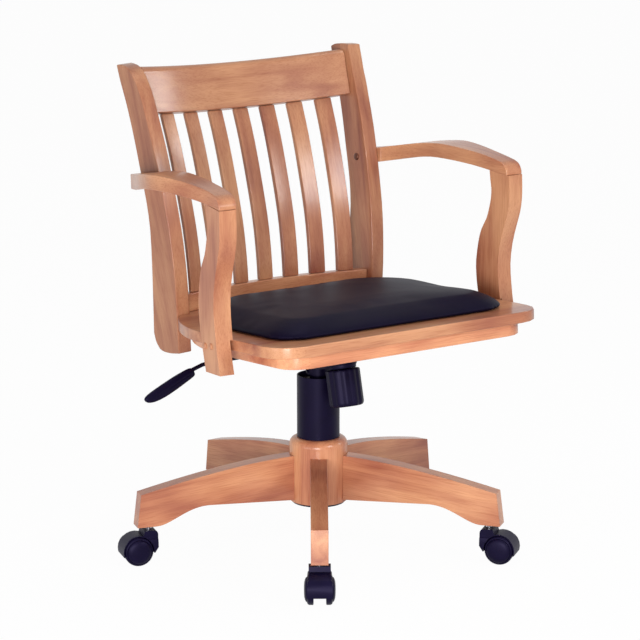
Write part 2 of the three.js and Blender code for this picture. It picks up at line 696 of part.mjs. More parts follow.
function addColumn(chair) {
  const coverBore = COVER_RADIUS - COVER_WALL;
  add(chair, 'cover_tube', 'black_plastic', ring(coverBore, COVER_RADIUS, hubTop, coverTop));
  add(chair, 'outer_tube', 'black_steel', outerTube());
  add(chair, 'guide_bush', 'black_plastic', guideBush());
  add(chair, 'gas_cylinder', 'black_steel', gasCylinder());
  add(chair, 'piston_rod', 'spring_steel', pistonRod());
  add(chair, 'release_button', 'spring_steel', releaseButton());
}

// Mechanism.

// The channel's floor climbs to the front at the knob's lean.
function rampHeight(y) {
  return housingFloor + Math.max(0, (HOUSING_RAMP_START - y) * Math.tan(KNOB_LEAN));
}

function housingChannel() {
  const inner = HOUSING_HALF_WIDTH - HOUSING_WALL;
  const front = HOUSING_FRONT + HOUSING_WALL;
  const rear = HOUSING_REAR - HOUSING_WALL;
  const over = housingTop + CUT_PAST;
  const outside = prismX(points([
    [HOUSING_RAMP_START, housingFloor], [HOUSING_REAR, housingFloor],
    [HOUSING_REAR, housingFloor + HOUSING_REAR_DEPTH], [HOUSING_SLOPE_START, housingTop],
    [HOUSING_FRONT, housingTop], [HOUSING_FRONT, rampHeight(HOUSING_FRONT)],
  ]), -HOUSING_HALF_WIDTH, HOUSING_HALF_WIDTH);
  const hollow = prismX(points([
    [HOUSING_RAMP_START, housingFloor + HOUSING_WALL], [rear, housingFloor + HOUSING_WALL],
    [rear, over], [front, over], [front, rampHeight(front) + HOUSING_WALL],
  ]), -inner, inner);
  return outside.subtract(hollow);
}

function housingGussets() {
  const inner = CYLINDER_RADIUS + SOCKET_WALL / 2;
  const socketRadius = CYLINDER_RADIUS + SOCKET_WALL;
  const top = housingFloor + HOUSING_WALL / 2;
  const low = socketBottom + GUSSET_LIP;
  const gusset = prismY(points([
    [inner, low], [socketRadius, low], [HOUSING_HALF_WIDTH, housingFloor],
    [HOUSING_HALF_WIDTH, top], [inner, top],
  ]), -GUSSET_THICKNESS / 2, GUSSET_THICKNESS / 2);
  return gusset.add(mirrored(gusset));
}

function rockerEars() {
  const inner = ROCKER_SLEEVE_RADIUS + ROCKER_EAR_THICKNESS / 2;
  const floor = housingFloor + HOUSING_WALL / 2;
  const ear = block(
    -LEVER_PIVOT_REACH - ROCKER_EAR_HALF_LENGTH, -LEVER_PIVOT_REACH + ROCKER_EAR_HALF_LENGTH,
    inner, inner + ROCKER_EAR_THICKNESS, floor, housingTop,
  );
  return ear.add(ear.mirror([0, 1, 0]));
}

function knobMatrix() {
  const ramp = rampHeight(-KNOB_REACH);
  return new THREE.Matrix4()
    .makeRotationX(-KNOB_LEAN)
    .setPosition(0, -KNOB_REACH, ramp - COLLAR_HEIGHT / Math.cos(KNOB_LEAN));
}

function tiltHousing() {
  const socketRadius = CYLINDER_RADIUS + SOCKET_WALL;
  const slotHalf = LEVER_ROD_RADIUS + HOUSING_WALL;
  const pinBore = boreFor(ROCKER_PIN_RADIUS);
  const reach = HOUSING_HALF_WIDTH + CUT_PAST;
  const cylinderSeat = rod(
    CYLINDER_RADIUS + RUNNING_GAP, socketBottom - CUT_PAST, socketTop + CUT_PAST, ROUND_SEGMENTS,
  );
  const leverSlot = block(
    -reach, -HOUSING_HALF_WIDTH + 2 * HOUSING_WALL, -slotHalf, slotHalf,
    leverHeight - slotHalf, housingTop + CUT_PAST,
  );
  return joined(
    housingChannel(),
    rod(socketRadius, socketBottom, socketTop, ROUND_SEGMENTS),
    housingGussets(),
    rockerEars(),
    moved(rod(COLLAR_RADIUS, 0, COLLAR_HEIGHT + HOUSING_WALL / 2), knobMatrix()),
  )
    .subtract(cylinderSeat)
    .subtract(leverSlot)
    .subtract(alongX(rod(boreFor(AXLE_RADIUS), -reach, reach), AXLE_REACH, axleHeight))
    .subtract(alongY(rod(pinBore, -CUT_PAST, CUT_PAST), -LEVER_PIVOT_REACH, leverHeight))
    .subtract(moved(rod(boreFor(BOLT_RADIUS), -CUT_PAST, CUT_PAST), knobMatrix()));
}

// The seat unit is pitched about the top of its lower board.
function seatMatrix() {
  const back = APRON_THICKNESS * Math.sin(SEAT_PITCH);
  return new THREE.Matrix4().makeRotationX(-SEAT_PITCH).setPosition(0, -back, seatHeight);
}

function forkPlace() {
  return COLLAR_HEIGHT + HOUSING_WALL + FORK_CLEARANCE;
}

function springFork() {
  const outer = FORK_ARM_OFFSET + FORK_ARM_THICKNESS;
  const low = forkPlace();
  const knobTop = rampHeight(-KNOB_REACH) - COLLAR_HEIGHT;
  const armTop = (seatHeight - PLATE_THICKNESS / 2 - knobTop) / Math.cos(KNOB_LEAN);
  const arm = block(
    FORK_ARM_OFFSET, outer, -FORK_ARM_HALF_LENGTH, FORK_ARM_HALF_LENGTH, low, armTop,
  );
  const bridge = block(
    -outer, outer, -FORK_HALF_LENGTH, FORK_HALF_LENGTH, low, low + FORK_THICKNESS,
  );
  const slot = block(
    -FORK_SLOT_HALF_WIDTH, FORK_SLOT_HALF_WIDTH, -FORK_SLOT_FRONT, FORK_HALF_LENGTH + CUT_PAST,
    low - CUT_PAST, low + FORK_THICKNESS + JOINT_GAP,
  );
  return joined(bridge, arm, mirrored(arm)).subtract(slot);
}

// In the chair's frame, because its ears follow the axle and its fork the knob's bolt.
function seatPlate() {
  const low = -PLATE_THICKNESS - JOINT_GAP;
  const plate = moved(
    block(-PLATE_HALF_WIDTH, PLATE_HALF_WIDTH, PLATE_FRONT, PLATE_REAR, low, -JOINT_GAP),
    seatMatrix(),
  );
  const inner = HOUSING_HALF_WIDTH + EAR_GAP;
  const earTop = seatHeight - PLATE_THICKNESS - AXLE_REACH * Math.sin(SEAT_PITCH);
  const ear = block(
    inner, inner + EAR_THICKNESS, AXLE_REACH - EAR_HALF_LENGTH, AXLE_REACH + EAR_HALF_LENGTH,
    axleHeight - EAR_BELOW_AXLE, earTop + PLATE_THICKNESS / 2,
  );
  const reach = inner + CUT_PAST;
  return joined(plate, ear, mirrored(ear))
    .subtract(alongX(rod(boreFor(AXLE_RADIUS), -reach, reach), AXLE_REACH, axleHeight))
    .add(moved(springFork(), knobMatrix()));
}

function tiltAxle() {
  const headInner = HOUSING_HALF_WIDTH + EAR_GAP + EAR_THICKNESS + JOINT_GAP;
  const headOuter = headInner + AXLE_HEAD_THICKNESS;
  const pin = joined(
    rod(AXLE_RADIUS, -headOuter, headOuter),
    rod(AXLE_HEAD_RADIUS, headInner, headOuter),
    rod(AXLE_HEAD_RADIUS, -headOuter, -headInner),
  );
  return alongX(pin, AXLE_REACH, axleHeight);
}

function flutedOutline() {
  const count = KNOB_FLUTE_COUNT * KNOB_FLUTE_STEPS;
  const list = [];
  for (let i = 0; i < count; i += 1) {
    const angle = (i * 2 * Math.PI) / count;
    const radius = KNOB_RADIUS + KNOB_FLUTE_DEPTH * Math.cos(KNOB_FLUTE_COUNT * angle);
    list.push(new THREE.Vector2(radius * Math.cos(angle), radius * Math.sin(angle)));
  }
  return list;
}

// A cup with a boss round its bolt; its rim is just under the housing's collar.
function tensionKnob() {
  const full = (KNOB_RADIUS + KNOB_FLUTE_DEPTH) / Math.cos(Math.PI / ROUND_SEGMENTS);
  const bottom = -KNOB_HEIGHT;
  const rounded = turned([
    new THREE.Vector2(0, bottom),
    ...arc(full - KNOB_EDGE_RADIUS, bottom + KNOB_EDGE_RADIUS, KNOB_EDGE_RADIUS, -Math.PI / 2, 0, 2),
    new THREE.Vector2(full, -JOINT_GAP),
    new THREE.Vector2(0, -JOINT_GAP),
  ]);
  const cavity = rod(KNOB_RADIUS - KNOB_WALL, bottom + 2 * KNOB_WALL, CUT_PAST)
    .subtract(rod(KNOB_BOSS_RADIUS, bottom, -KNOB_WALL));
  return prismZ(flutedOutline(), bottom, -JOINT_GAP)
    .intersect(rounded)
    .subtract(cavity)
    .subtract(rod(boreFor(BOLT_RADIUS), bottom - CUT_PAST, CUT_PAST));
}

function springStart() {
  return forkPlace() + FORK_THICKNESS;
}

function tensionBolt() {
  const head = springStart() + SPRING_LENGTH;
  const top = head + BOLT_HEAD_THICKNESS;
  return rod(BOLT_RADIUS, -KNOB_HEIGHT - BOLT_TAIL, top).add(rod(BOLT_HEAD_RADIUS, head, top));
}

class Helix extends THREE.Curve {
  constructor(radius, low, high, turns) {
    super();
    this.radius = radius;
    this.low = low;
    this.high = high;
    this.turns = turns;
  }

  getPoint(share, target = new THREE.Vector3()) {
    const angle = share * this.turns * 2 * Math.PI;
    const z = this.low + (this.high - this.low) * share;
    return target.set(this.radius * Math.cos(angle), this.radius * Math.sin(angle), z);
  }
}

function tensionSpring() {
  const lift = SPRING_WIRE_RADIUS + JOINT_GAP;
  const low = springStart() + lift;
  const path = new Helix(SPRING_RADIUS, low, springStart() + SPRING_LENGTH - lift, SPRING_TURNS);
  return bar(path, SPRING_WIRE_RADIUS, SPRING_TURNS * SPRING_TURN_STEPS, SMALL_SEGMENTS - 2);
}

function leverRocker() {
  const end = -ROCKER_SLEEVE_INNER_END;
  const start = end - ROCKER_SLEEVE_LENGTH;
  const pinHalf = ROCKER_SLEEVE_RADIUS + ROCKER_EAR_THICKNESS / 2 + ROCKER_EAR_THICKNESS;
  const bore = rod(LEVER_ROD_RADIUS + JOINT_GAP, start - CUT_PAST, -LEVER_ROD_START + JOINT_GAP);
  const tongue = block(
    end - ROCKER_TONGUE_THICKNESS, ROCKER_TONGUE_PAST,
    -ROCKER_TONGUE_HALF_WIDTH, ROCKER_TONGUE_HALF_WIDTH, buttonTop, leverHeight,
  );
  return alongX(rod(ROCKER_SLEEVE_RADIUS, start, end), 0, leverHeight)
    .add(alongY(rod(ROCKER_PIN_RADIUS, -pinHalf, pinHalf), -LEVER_PIVOT_REACH, leverHeight))
    .add(tongue)
    .subtract(alongX(bore, 0, leverHeight));
}

function leverRod(radius) {
  const bendReach = handleStart - LEVER_ROD_BEND_BEFORE_HANDLE;
  const endReach = handleStart + LEVER_ROD_IN_HANDLE;
  const bend = new THREE.Vector3(-bendReach, 0, leverHeight - LEVER_ROD_BEND_DROP);
  const start = new THREE.Vector3(-LEVER_ROD_START, 0, leverHeight);
  const end = new THREE.Vector3(-endReach, 0, leverHeight - LEVER_ROD_END_DROP);
  const path = new THREE.CurvePath();
  const [nearShare, pastShare] = LEVER_ROD_BEND_SHARES;
  const nearBend = bend.clone().lerp(start, nearShare);
  const pastBend = bend.clone().lerp(end, pastShare);
  path.add(new THREE.LineCurve3(start, nearBend));
  path.add(new THREE.QuadraticBezierCurve3(nearBend, bend, pastBend));
  path.add(new THREE.LineCurve3(pastBend, end));
  return bar(path, radius, BEND_STEPS);
}

function leverHandle() {
  const low = new THREE.Vector2(-HANDLE_REACH, leverHeight - HANDLE_DROP);
  const size = new THREE.Vector2(HANDLE_LENGTH, HANDLE_HEIGHT);
  const outline = [
    ...smooth(spread(HANDLE_UPPER_SHARES, low, size)),
    ...smooth(spread(HANDLE_LOWER_SHARES, low, size)),
  ];
  return prismY(outline, -HANDLE_THICKNESS / 2, HANDLE_THICKNESS / 2)
    .subtract(leverRod(LEVER_ROD_RADIUS + RUNNING_GAP));
}

function addMechanism(chair) {
  add(chair, 'tilt_housing', 'black_steel', tiltHousing());
  add(chair, 'seat_plate', 'black_steel', seatPlate());
  add(chair, 'tilt_axle', 'spring_steel', tiltAxle());
  add(chair, 'tension_knob', 'black_plastic', tensionKnob(), knobMatrix());
  add(chair, 'tension_bolt', 'spring_steel', tensionBolt(), knobMatrix());
  add(chair, 'tension_spring', 'spring_steel', tensionSpring(), knobMatrix());
  add(chair, 'lever_rocker', 'black_steel', leverRocker());
  add(chair, 'lever_rod', 'black_steel', leverRod(LEVER_ROD_RADIUS));
  add(chair, 'lever_handle', 'black_plastic', leverHandle());
}

// Seat boards, in the seat unit's frame.

function mirroredOutline(right) {
  return [...right, ...right.map((p) => new THREE.Vector2(-p.x, p.y)).reverse()];
}

function boardOutline(sideInset, frontInset, corner) {
  const front = BOARD_FRONT + frontInset;
  const width = boardHalfWidth - sideInset;
  const size = new THREE.Vector2(width, BOARD_REAR - BOARD_FRONT);
  const side = smooth(spread(BOARD_SIDE_SHARES, new THREE.Vector2(0, BOARD_FRONT), size));
  return mirroredOutline([...arc(width - corner, front + corner, corner, -Math.PI / 2, 0), ...side]);
}

// From a back post's own frame, where x is 0 on its outer face.
function backPostMatrix(side) {
  return new THREE.Matrix4()
    .makeRotationY(side * BACK_POST_SPLAY)
    .setPosition(side * BACK_POST_HALF_SPREAD, 0, 0);
}

function postInnerFace(z) {
  return BACK_POST_HALF_SPREAD + z * Math.tan(BACK_POST_SPLAY)
    - BACK_POST_THICKNESS / Math.cos(BACK_POST_SPLAY) - JOINT_GAP;
}

function backPostOutline(shares, growth = 0) {
  const low = new THREE.Vector2(BACK_POST_FRONT + growth, BACK_POST_FOOT);
  return smooth(spread(shares, low, new THREE.Vector2(BACK_POST_DEPTH, BACK_POST_HEIGHT)));
}

// A back post's board, or with a growth the space that its neighbours leave for it.
function backPost(side, growth = 0) {
  const topShares = side > 0 ? BACK_POST_SQUARE_TOP_SHARES : BACK_POST_ROUND_TOP_SHARES;
  const outline = [
    ...backPostOutline(BACK_POST_FRONT_SHARES, -growth),
    ...backPostOutline(topShares),
    ...backPostOutline(BACK_POST_REAR_SHARES, growth),
    ...backPostOutline(BACK_POST_FOOT_SHARES),
  ];
  const board = prismX(outline.reverse(), -BACK_POST_THICKNESS - growth, growth);
  return side > 0 ? board : mirrored(board);
}

// From an arm post's own frame, where x and y are 0 at its outer front corner.
function armPostMatrix(side) {
  return new THREE.Matrix4()
    .makeRotationZ(side * ARM_POST_TURN)
    .setPosition(side * armPostReach, ARM_FRONT, 0);
}

function armPostOutline(shares, growth) {
  const low = new THREE.Vector2(growth, ARM_POST_FOOT);
  return smooth(spread(shares, low, new THREE.Vector2(ARM_POST_DEPTH, ARM_POST_HEIGHT)));
}

// The post is rebated on its inner side, so that its shoulder stands on the seat board.
function armPostBoard(side, growth = 0) {
  const outline = [
    ...armPostOutline(ARM_POST_REAR_SHARES, growth),
    ...armPostOutline(ARM_POST_FRONT_SHARES, -growth),
  ];
  const inner = -ARM_POST_THICKNESS - growth;
  const rebate = block(
    inner - CUT_PAST, inner + ARM_POST_REBATE, -CUT_PAST, ARM_POST_DEPTH + CUT_PAST,
    -ARM_POST_HEIGHT, boardTop + JOINT_GAP,
  );
  const board = prismX(outline, inner, growth).subtract(rebate);
  return side > 0 ? board : mirrored(board);
}

function notched(board) {
  return [RIGHT, LEFT].reduce((left, side) => left
    .subtract(moved(backPost(side, JOINT_GAP), backPostMatrix(side)))
    .subtract(moved(armPostBoard(side, JOINT_GAP), armPostMatrix(side))), board);
}

function seatBoard() {
  return notched(prismZ(boardOutline(0, 0, BOARD_CORNER_RADIUS), boardBottom, boardTop));
}

function lowerBoard() {
  const outline = boardOutline(APRON_SIDE_INSET, APRON_FRONT_INSET, APRON_CORNER_RADIUS);
  return notched(prismZ(outline, 0, boardBottom - JOINT_GAP));
}

function cushionOutline() {
  const front = CUSHION_FRONT_CORNER_RADIUS;
  const rear = CUSHION_REAR_CORNER_RADIUS;
  const half = CUSHION_HALF_WIDTH;
  const sideMiddle = (CUSHION_FRONT + front + CUSHION_REAR - rear) / 2;
  return mirroredOutline([
    new THREE.Vector2((half - front) / 2, CUSHION_FRONT),
    ...arc(half - front, CUSHION_FRONT + front, front, -Math.PI / 2, 0, 2 * ARC_STEPS),
    new THREE.Vector2(half, sideMiddle),
    ...arc(half - rear, CUSHION_REAR - rear, rear, 0, Math.PI / 2, 2 * ARC_STEPS),
  ]);
}

// A closed skin over rings that follow the foot line inwards and up, with a flat underside.
function cushion() {
  const outline = cushionOutline();
  const middle = new THREE.Vector2(0, (CUSHION_FRONT + CUSHION_REAR) / 2);
  const foot = boardTop + JOINT_GAP;
  const positions = [];
  const addRing = (scaleOf, z) => outline.forEach((p) => {
    const from = p.clone().sub(middle);
    const q = from.clone().multiplyScalar(scaleOf(from.length())).add(middle);
    positions.push(q.x, q.y, z);
  });
  const edgeSize = new THREE.Vector2(CUSHION_EDGE_WIDTH, CUSHION_EDGE_HEIGHT);
  const edge = spread(CUSHION_EDGE_SHARES, new THREE.Vector2(0, foot), edgeSize);
  edge.forEach((p) => addRing((length) => 1 - p.x / length, p.y));
  const crownTop = foot + CUSHION_EDGE_HEIGHT + CUSHION_CROWN;
  for (let step = 1; step < CUSHION_CROWN_STEPS; step += 1) {
    const share = 1 - step / CUSHION_CROWN_STEPS;
    const z = crownTop - CUSHION_CROWN * share * share;
    addRing((length) => (1 - CUSHION_EDGE_WIDTH / length) * share, z);
  }
  const count = outline.length;
  const ringCount = positions.length / 3 / count;
  positions.push(middle.x, middle.y, foot, middle.x, middle.y, crownTop);
  return closedRings(positions, count, ringCount);
}

// Joins rings of points, each with its count, and caps them with the last two points.
function closedRings(positions, count, ringCount) {
  const bottom = ringCount * count;
  const top = bottom + 1;
  const last = (ringCount - 1) * count;
  const index = [];
  for (let i = 0; i < count; i += 1) {
    const next = (i + 1) % count;
    index.push(bottom, next, i, top, last + i, last + next);
    for (let low = 0; low < last; low += count) {
      const high = low + count;
      index.push(low + i, low + next, high + next, low + i, high + next, high + i);
    }
  }
  const geometry = new THREE.BufferGeometry();
  geometry.setAttribute('position', new THREE.Float32BufferAttribute(positions, 3));
  geometry.setIndex(index);
  return toManifold(geometry);
}

// Back, in the seat unit's frame.

// A board between the back posts: its (y, z) section leans, runs across, and bows back
// square to its face in the middle.
function bowedRail(section, bow, lean) {
  const geometry = new THREE.ExtrudeGeometry(new THREE.Shape(section), {
    depth: 2, steps: BEND_STEPS, bevelEnabled: false,
  });
  const position = geometry.attributes.position;
  for (let i = 0; i < position.count; i += 1) {
    const across = position.getZ(i) - 1;
    const forward = bow * across * across;
    const y = position.getX(i) - forward * Math.cos(lean);
    const z = position.getY(i) + forward * Math.sin(lean);
    position.setXYZ(i, across * postInnerFace(z), y, z);
  }
  return toManifold(geometry);
}

function crestRail() {
  const along = new THREE.Vector2(Math.sin(CREST_LEAN), Math.cos(CREST_LEAN));
  const back = new THREE.Vector2(Math.cos(CREST_LEAN), -Math.sin(CREST_LEAN));
  const local = [
    ...points([[0, 0], [RAIL_THICKNESS, 0], [RAIL_THICKNESS, CREST_HEIGHT]]),
    ...arc(CREST_EDGE_RADIUS, CREST_HEIGHT - CREST_EDGE_RADIUS, CREST_EDGE_RADIUS, Math.PI / 2, Math.PI),
  ];
  const section = local.map((p) => new THREE.Vector2(CREST_FRONT, crestBottom)
    .addScaledVector(back, p.x)
    .addScaledVector(along, p.y));
  return bowedRail(section, CREST_BOW, CREST_LEAN);
}

function lowerRail() {
  const rear = LOWER_RAIL_FRONT + RAIL_THICKNESS;
  const bottom = boardTop + JOINT_GAP;
  return bowedRail(points([
    [LOWER_RAIL_FRONT, bottom], [rear, bottom], [rear, lowerRailTop], [LOWER_RAIL_FRONT, lowerRailTop],
  ]), LOWER_RAIL_BOW, 0);
}

function postFrontAt(z) {
  const curve = backPostOutline(BACK_POST_FRONT_SHARES);
  const next = curve.findIndex((p) => p.y > z);
  const above = curve[next];
  const below = curve[next - 1];
  return below.x + ((above.x - below.x) * (z - below.y)) / (above.y - below.y);
}

// On the chair's centre line the slats' front keeps the back posts' curve between the rails,
// and at the top it is set back further, under the leaning crest.
function slatFront(z, up) {
  const recess = (RAIL_THICKNESS - SLAT_THICKNESS) / 2;
  const low = LOWER_RAIL_FRONT - postFrontAt(lowerRailTop);
  const high = CREST_FRONT + SLAT_TOP_SETBACK - postFrontAt(crestBottom);
  return postFrontAt(z) + recess + low + (high - low) * up;
}

// A slat is drawn up to the crest rail's ends, and cut off under the rail.
function slat(index, crest) {
  const place = index - (SLAT_COUNT - 1) / 2;
  const low = lowerRailTop + JOINT_GAP;
  const high = crestBottom + CREST_BOW * Math.sin(CREST_LEAN);
  const geometry = new THREE.BoxGeometry(2, 2, 2, 2, 1, BEND_STEPS);
  const position = geometry.attributes.position;
  for (let i = 0; i < position.count; i += 1) {
    const up = (position.getZ(i) + 1) / 2;
    const z = low + (high - low) * up;
    const pitch = SLAT_LOW_PITCH + (SLAT_HIGH_PITCH - SLAT_LOW_PITCH) * up;
    const x = place * pitch + (position.getX(i) * SLAT_WIDTH) / 2;
    const across = x / postInnerFace(z);
    const bow = LOWER_RAIL_BOW + (CREST_BOW - LOWER_RAIL_BOW) * up;
    const deep = ((position.getY(i) + 1) * SLAT_THICKNESS) / 2;
    position.setXYZ(i, x, slatFront(z, up) - bow * across * across + deep, z);
  }
  return toManifold(geometry).subtract(shifted(crest, 0, 0, -JOINT_GAP));
}

// Arms, in the seat unit's frame.

function armBand(shares, drop = 0) {
  const low = new THREE.Vector2(ARM_FRONT, armLow - drop);
  return smooth(spread(shares, low, new THREE.Vector2(ARM_LENGTH, ARM_RISE)));
}

function armPlan(shares) {
  const low = new THREE.Vector2(ARM_INNER_REACH, ARM_FRONT);
  return smooth(spread(shares, low, new THREE.Vector2(ARM_SWING, ARM_LENGTH)));
}

function armrest(side) {
  const plan = [...armPlan(ARM_INNER_SHARES), ...armPlan(ARM_OUTER_SHARES)];
  const band = [
    ...armBand(ARM_TOP_SHARES), ...armBand(ARM_NOSE_SHARES), ...armBand(ARM_UNDERSIDE_SHARES),
  ];
  const low = armLow - CUT_PAST;
  const high = armLow + ARM_RISE + CUT_PAST;
  const rear = ARM_FRONT + ARM_LENGTH + CUT_PAST;
  const postSpace = moved(
    block(-2 * CUT_PAST, JOINT_GAP, ARM_FRONT, rear, low, high),
    backPostMatrix(RIGHT),
  );
  const behindFront = block(0, 2 * boardHalfWidth, BACK_POST_FRONT, rear, low, high);
  const arm = prismZ(plan, low, high)
    .intersect(prismX(band, 0, 2 * boardHalfWidth))
    .subtract(postSpace.intersect(behindFront));
  return side > 0 ? arm : mirrored(arm);
}

function armPost(side) {
  const under = armBand(ARM_UNDERSIDE_SHARES, JOINT_GAP);
  const over = armLow + ARM_RISE + CUT_PAST;
  const above = [
    ...under,
    new THREE.Vector2(under[under.length - 1].x, over),
    new THREE.Vector2(ARM_FRONT - CUT_PAST, over),
    new THREE.Vector2(ARM_FRONT - CUT_PAST, under[0].y),
  ];
  const reach = 2 * boardHalfWidth;
  return moved(armPostBoard(side), armPostMatrix(side)).subtract(prismX(above, -reach, reach));
}

function addSeatUnit(chair) {
  const unit = new THREE.Group();
  unit.applyMatrix4(seatMatrix());
  chair.add(unit);
  const crest = crestRail();
  const sides = [['left', LEFT], ['right', RIGHT]];
  add(unit, 'seat_board', 'lacquered_wood', seatBoard());
  add(unit, 'seat_lower_board', 'lacquered_wood', lowerBoard());
  add(unit, 'cushion', 'cushion_vinyl', cushion());
  add(unit, 'crest_rail', 'lacquered_wood', crest);
  add(unit, 'lower_rail', 'lacquered_wood', lowerRail());
  for (let i = 0; i < SLAT_COUNT; i += 1) {
    add(unit, `back_slat_${i + 1}`, 'lacquered_wood', slat(i, crest));
  }
  for (const [word, side] of sides) {
    add(unit, `back_post_${word}`, 'lacquered_wood', backPost(side), backPostMatrix(side));
    add(unit, `armrest_${word}`, 'lacquered_wood', armrest(side));
    add(unit, `arm_post_${word}`, 'lacquered_wood', armPost(side));
  }
}

// The arms and the star reach unevenly to the front and rear of the column's axis, so the
// chair is moved until the middle of its depth is at the origin.
function centred(chair) {
  const middle = new THREE.Box3().setFromObject(chair, true).getCenter(new THREE.Vector3());
  chair.position.y = -middle.y;
  return new THREE.Group().add(chair);
}

const chair = new THREE.Group();
addBase(chair);
addColumn(chair);
addMechanism(chair);
addSeatUnit(chair);

const model = centred(chair);
model.name = 'bankers_swivel_chair';

export default model;
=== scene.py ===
"""The looks of the bankers swivel chair: lacquered wood, a padded vinyl cushion, black plastic
casters, knob and handle, and the photograph's camera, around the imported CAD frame. Metres."""
import json
import math

import bmesh
import bpy
from mathutils import Matrix, Vector

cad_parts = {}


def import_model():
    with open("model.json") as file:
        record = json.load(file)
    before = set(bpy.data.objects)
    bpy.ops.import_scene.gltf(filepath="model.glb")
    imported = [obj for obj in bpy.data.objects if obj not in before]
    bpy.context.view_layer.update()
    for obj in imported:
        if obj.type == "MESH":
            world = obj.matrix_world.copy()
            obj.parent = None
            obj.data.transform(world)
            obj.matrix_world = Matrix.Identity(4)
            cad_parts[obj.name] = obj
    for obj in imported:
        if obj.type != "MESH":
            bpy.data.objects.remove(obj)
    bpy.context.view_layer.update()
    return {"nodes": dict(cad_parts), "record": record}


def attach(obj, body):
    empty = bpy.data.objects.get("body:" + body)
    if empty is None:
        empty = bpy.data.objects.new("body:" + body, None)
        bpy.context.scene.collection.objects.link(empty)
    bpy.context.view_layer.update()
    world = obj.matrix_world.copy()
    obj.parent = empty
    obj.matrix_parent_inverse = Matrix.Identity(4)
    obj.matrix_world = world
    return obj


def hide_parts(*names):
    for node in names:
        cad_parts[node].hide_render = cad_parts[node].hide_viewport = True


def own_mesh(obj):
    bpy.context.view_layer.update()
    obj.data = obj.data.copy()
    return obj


# The photograph's camera.
CAMERA_PLACE = Vector((-2.655764, -3.830015, 1.425722))
CAMERA_FORWARD = Vector((0.55940772, 0.80019658, -0.21621389))
CAMERA_UP = Vector((0.12562223, 0.17598807, 0.97634382))
CAMERA_LENS = 157.57
CAMERA_SENSOR = 36.0
CAMERA_FAR = 100

# The chair's own frames, as the CAD part has them.
AXIS_Y = -0.025479
SEAT_HEIGHT = 0.379
SEAT_PITCH = math.radians(3)
APRON_THICKNESS = 0.022
SLAT_COUNT = 7
LEG_COUNT = 5
FIRST_LEG_TURN = math.radians(-124.6)
LEG_TURN = 2 * math.pi / LEG_COUNT

# Fixed by the units and by Blender's matrices.
MILLIMETRES_PER_METRE = 1000
MATRIX_SIZE = 4

# Wheels: how far their axle is from the column, and their profile of (radius, distance outwards from
# the middle between a caster's two wheels).
WHEEL_REACH = 0.324
WHEEL_RADIUS = 0.025
WHEEL_PROFILE = [
    (0.0062, 0.0101), (0.0228, 0.0101), (0.0243, 0.0104), (0.025, 0.0112), (0.025, 0.0166),
    (0.0246, 0.0181), (0.0238, 0.0192), (0.0226, 0.0202), (0.0216, 0.0206), (0.0213, 0.0204),
    (0.021, 0.0199), (0.0207, 0.0199), (0.0205, 0.0206), (0.02, 0.0218), (0.0188, 0.0229),
    (0.016, 0.0242), (0.012, 0.0251), (0.006, 0.0255), (0.0, 0.0256),
]
WHEEL_SEGMENTS = 72

# Tension knob: z runs up its bolt and is zero at its upper end; the profile's rows are (radius, z,
# share of the flutes' depth).
KNOB_PLACE = (0, -0.096479, 0.32705)
KNOB_LEAN = math.radians(13)
KNOB_FLUTE_COUNT = 12
KNOB_FLUTE_DEPTH = 0.0007
KNOB_FLUTE_BLUNTNESS = 1.3
KNOB_SEGMENTS = 192
KNOB_PROFILE = [
    (0.0, -0.0004, 0), (0.0262, -0.0004, 0), (0.0277, -0.001, 0.4), (0.0284, -0.0026, 0.9),
    (0.0285, -0.005, 1), (0.0285, -0.03, 1), (0.0285, -0.0555, 1), (0.0282, -0.0585, 1),
    (0.0273, -0.0611, 0.9), (0.0258, -0.0628, 0.7), (0.0242, -0.0633, 0.5), (0.0232, -0.0626, 0.2),
    (0.0228, -0.0605, 0), (0.0228, -0.0085, 0), (0.0092, -0.0085, 0), (0.0092, -0.057, 0),
    (0.0086, -0.0585, 0), (0.006, -0.059, 0), (0.0, -0.059, 0),
]

# The collar between knob and housing, in the knob's frame: (radius, z).
COLLAR_PROFILE = [
    (0.009, 0.0006), (0.0225, 0.0006), (0.0238, 0.0016), (0.024, 0.006), (0.024, 0.012), (0.009, 0.012),
]

# Lever handle: stations of (distance from the tip, lowest, highest, half thickness), in
# millimetres, and its section as shares of half thickness and height from the bottom up.
HANDLE_TIP = Vector((-0.3465, -0.025479, 0.3094))
HANDLE_SLOPE = math.radians(19.5)
HANDLE_STATIONS = [
    (0.2, -2.2, 0.6, 1.2), (1.2, -4.9, 1.9, 2.8), (3.6, -7.6, 3.4, 4.2), (8, -9.9, 4.8, 5.2),
    (15, -12, 6, 5.9), (25, -13.3, 7.1, 6.3), (36, -13.6, 8.1, 6.5), (45, -13.2, 8.8, 6.5),
    (48, -13, 9, 6.5), (60, -11.9, 9.8, 6.5), (72, -10.4, 10.2, 6.5), (84, -8.8, 10.2, 6.5),
    (90, -7.9, 9.9, 6.4), (94, -7.3, 9.5, 6.3), (97.5, -6.6, 8.6, 5.9), (99.8, -5.6, 7.2, 5.1),
    (100.8, -4.2, 5.4, 3.9),
]
HANDLE_SECTION = [
    (0.3, 0.0), (0.6, 0.03), (0.82, 0.085), (0.95, 0.17), (1.0, 0.28), (1.0, 0.40), (0.99, 0.455),
    (0.98, 0.49), (0.98, 0.525), (0.985, 0.56), (0.965, 0.63), (0.87, 0.70), (0.70, 0.79),
    (0.50, 0.885), (0.30, 0.96), (0.12, 0.995),
]
HANDLE_GROOVE_POINT = 7
HANDLE_GROOVE_SHARE = 0.80
HANDLE_GROOVE_START = 46
HANDLE_GROOVE_END = 92

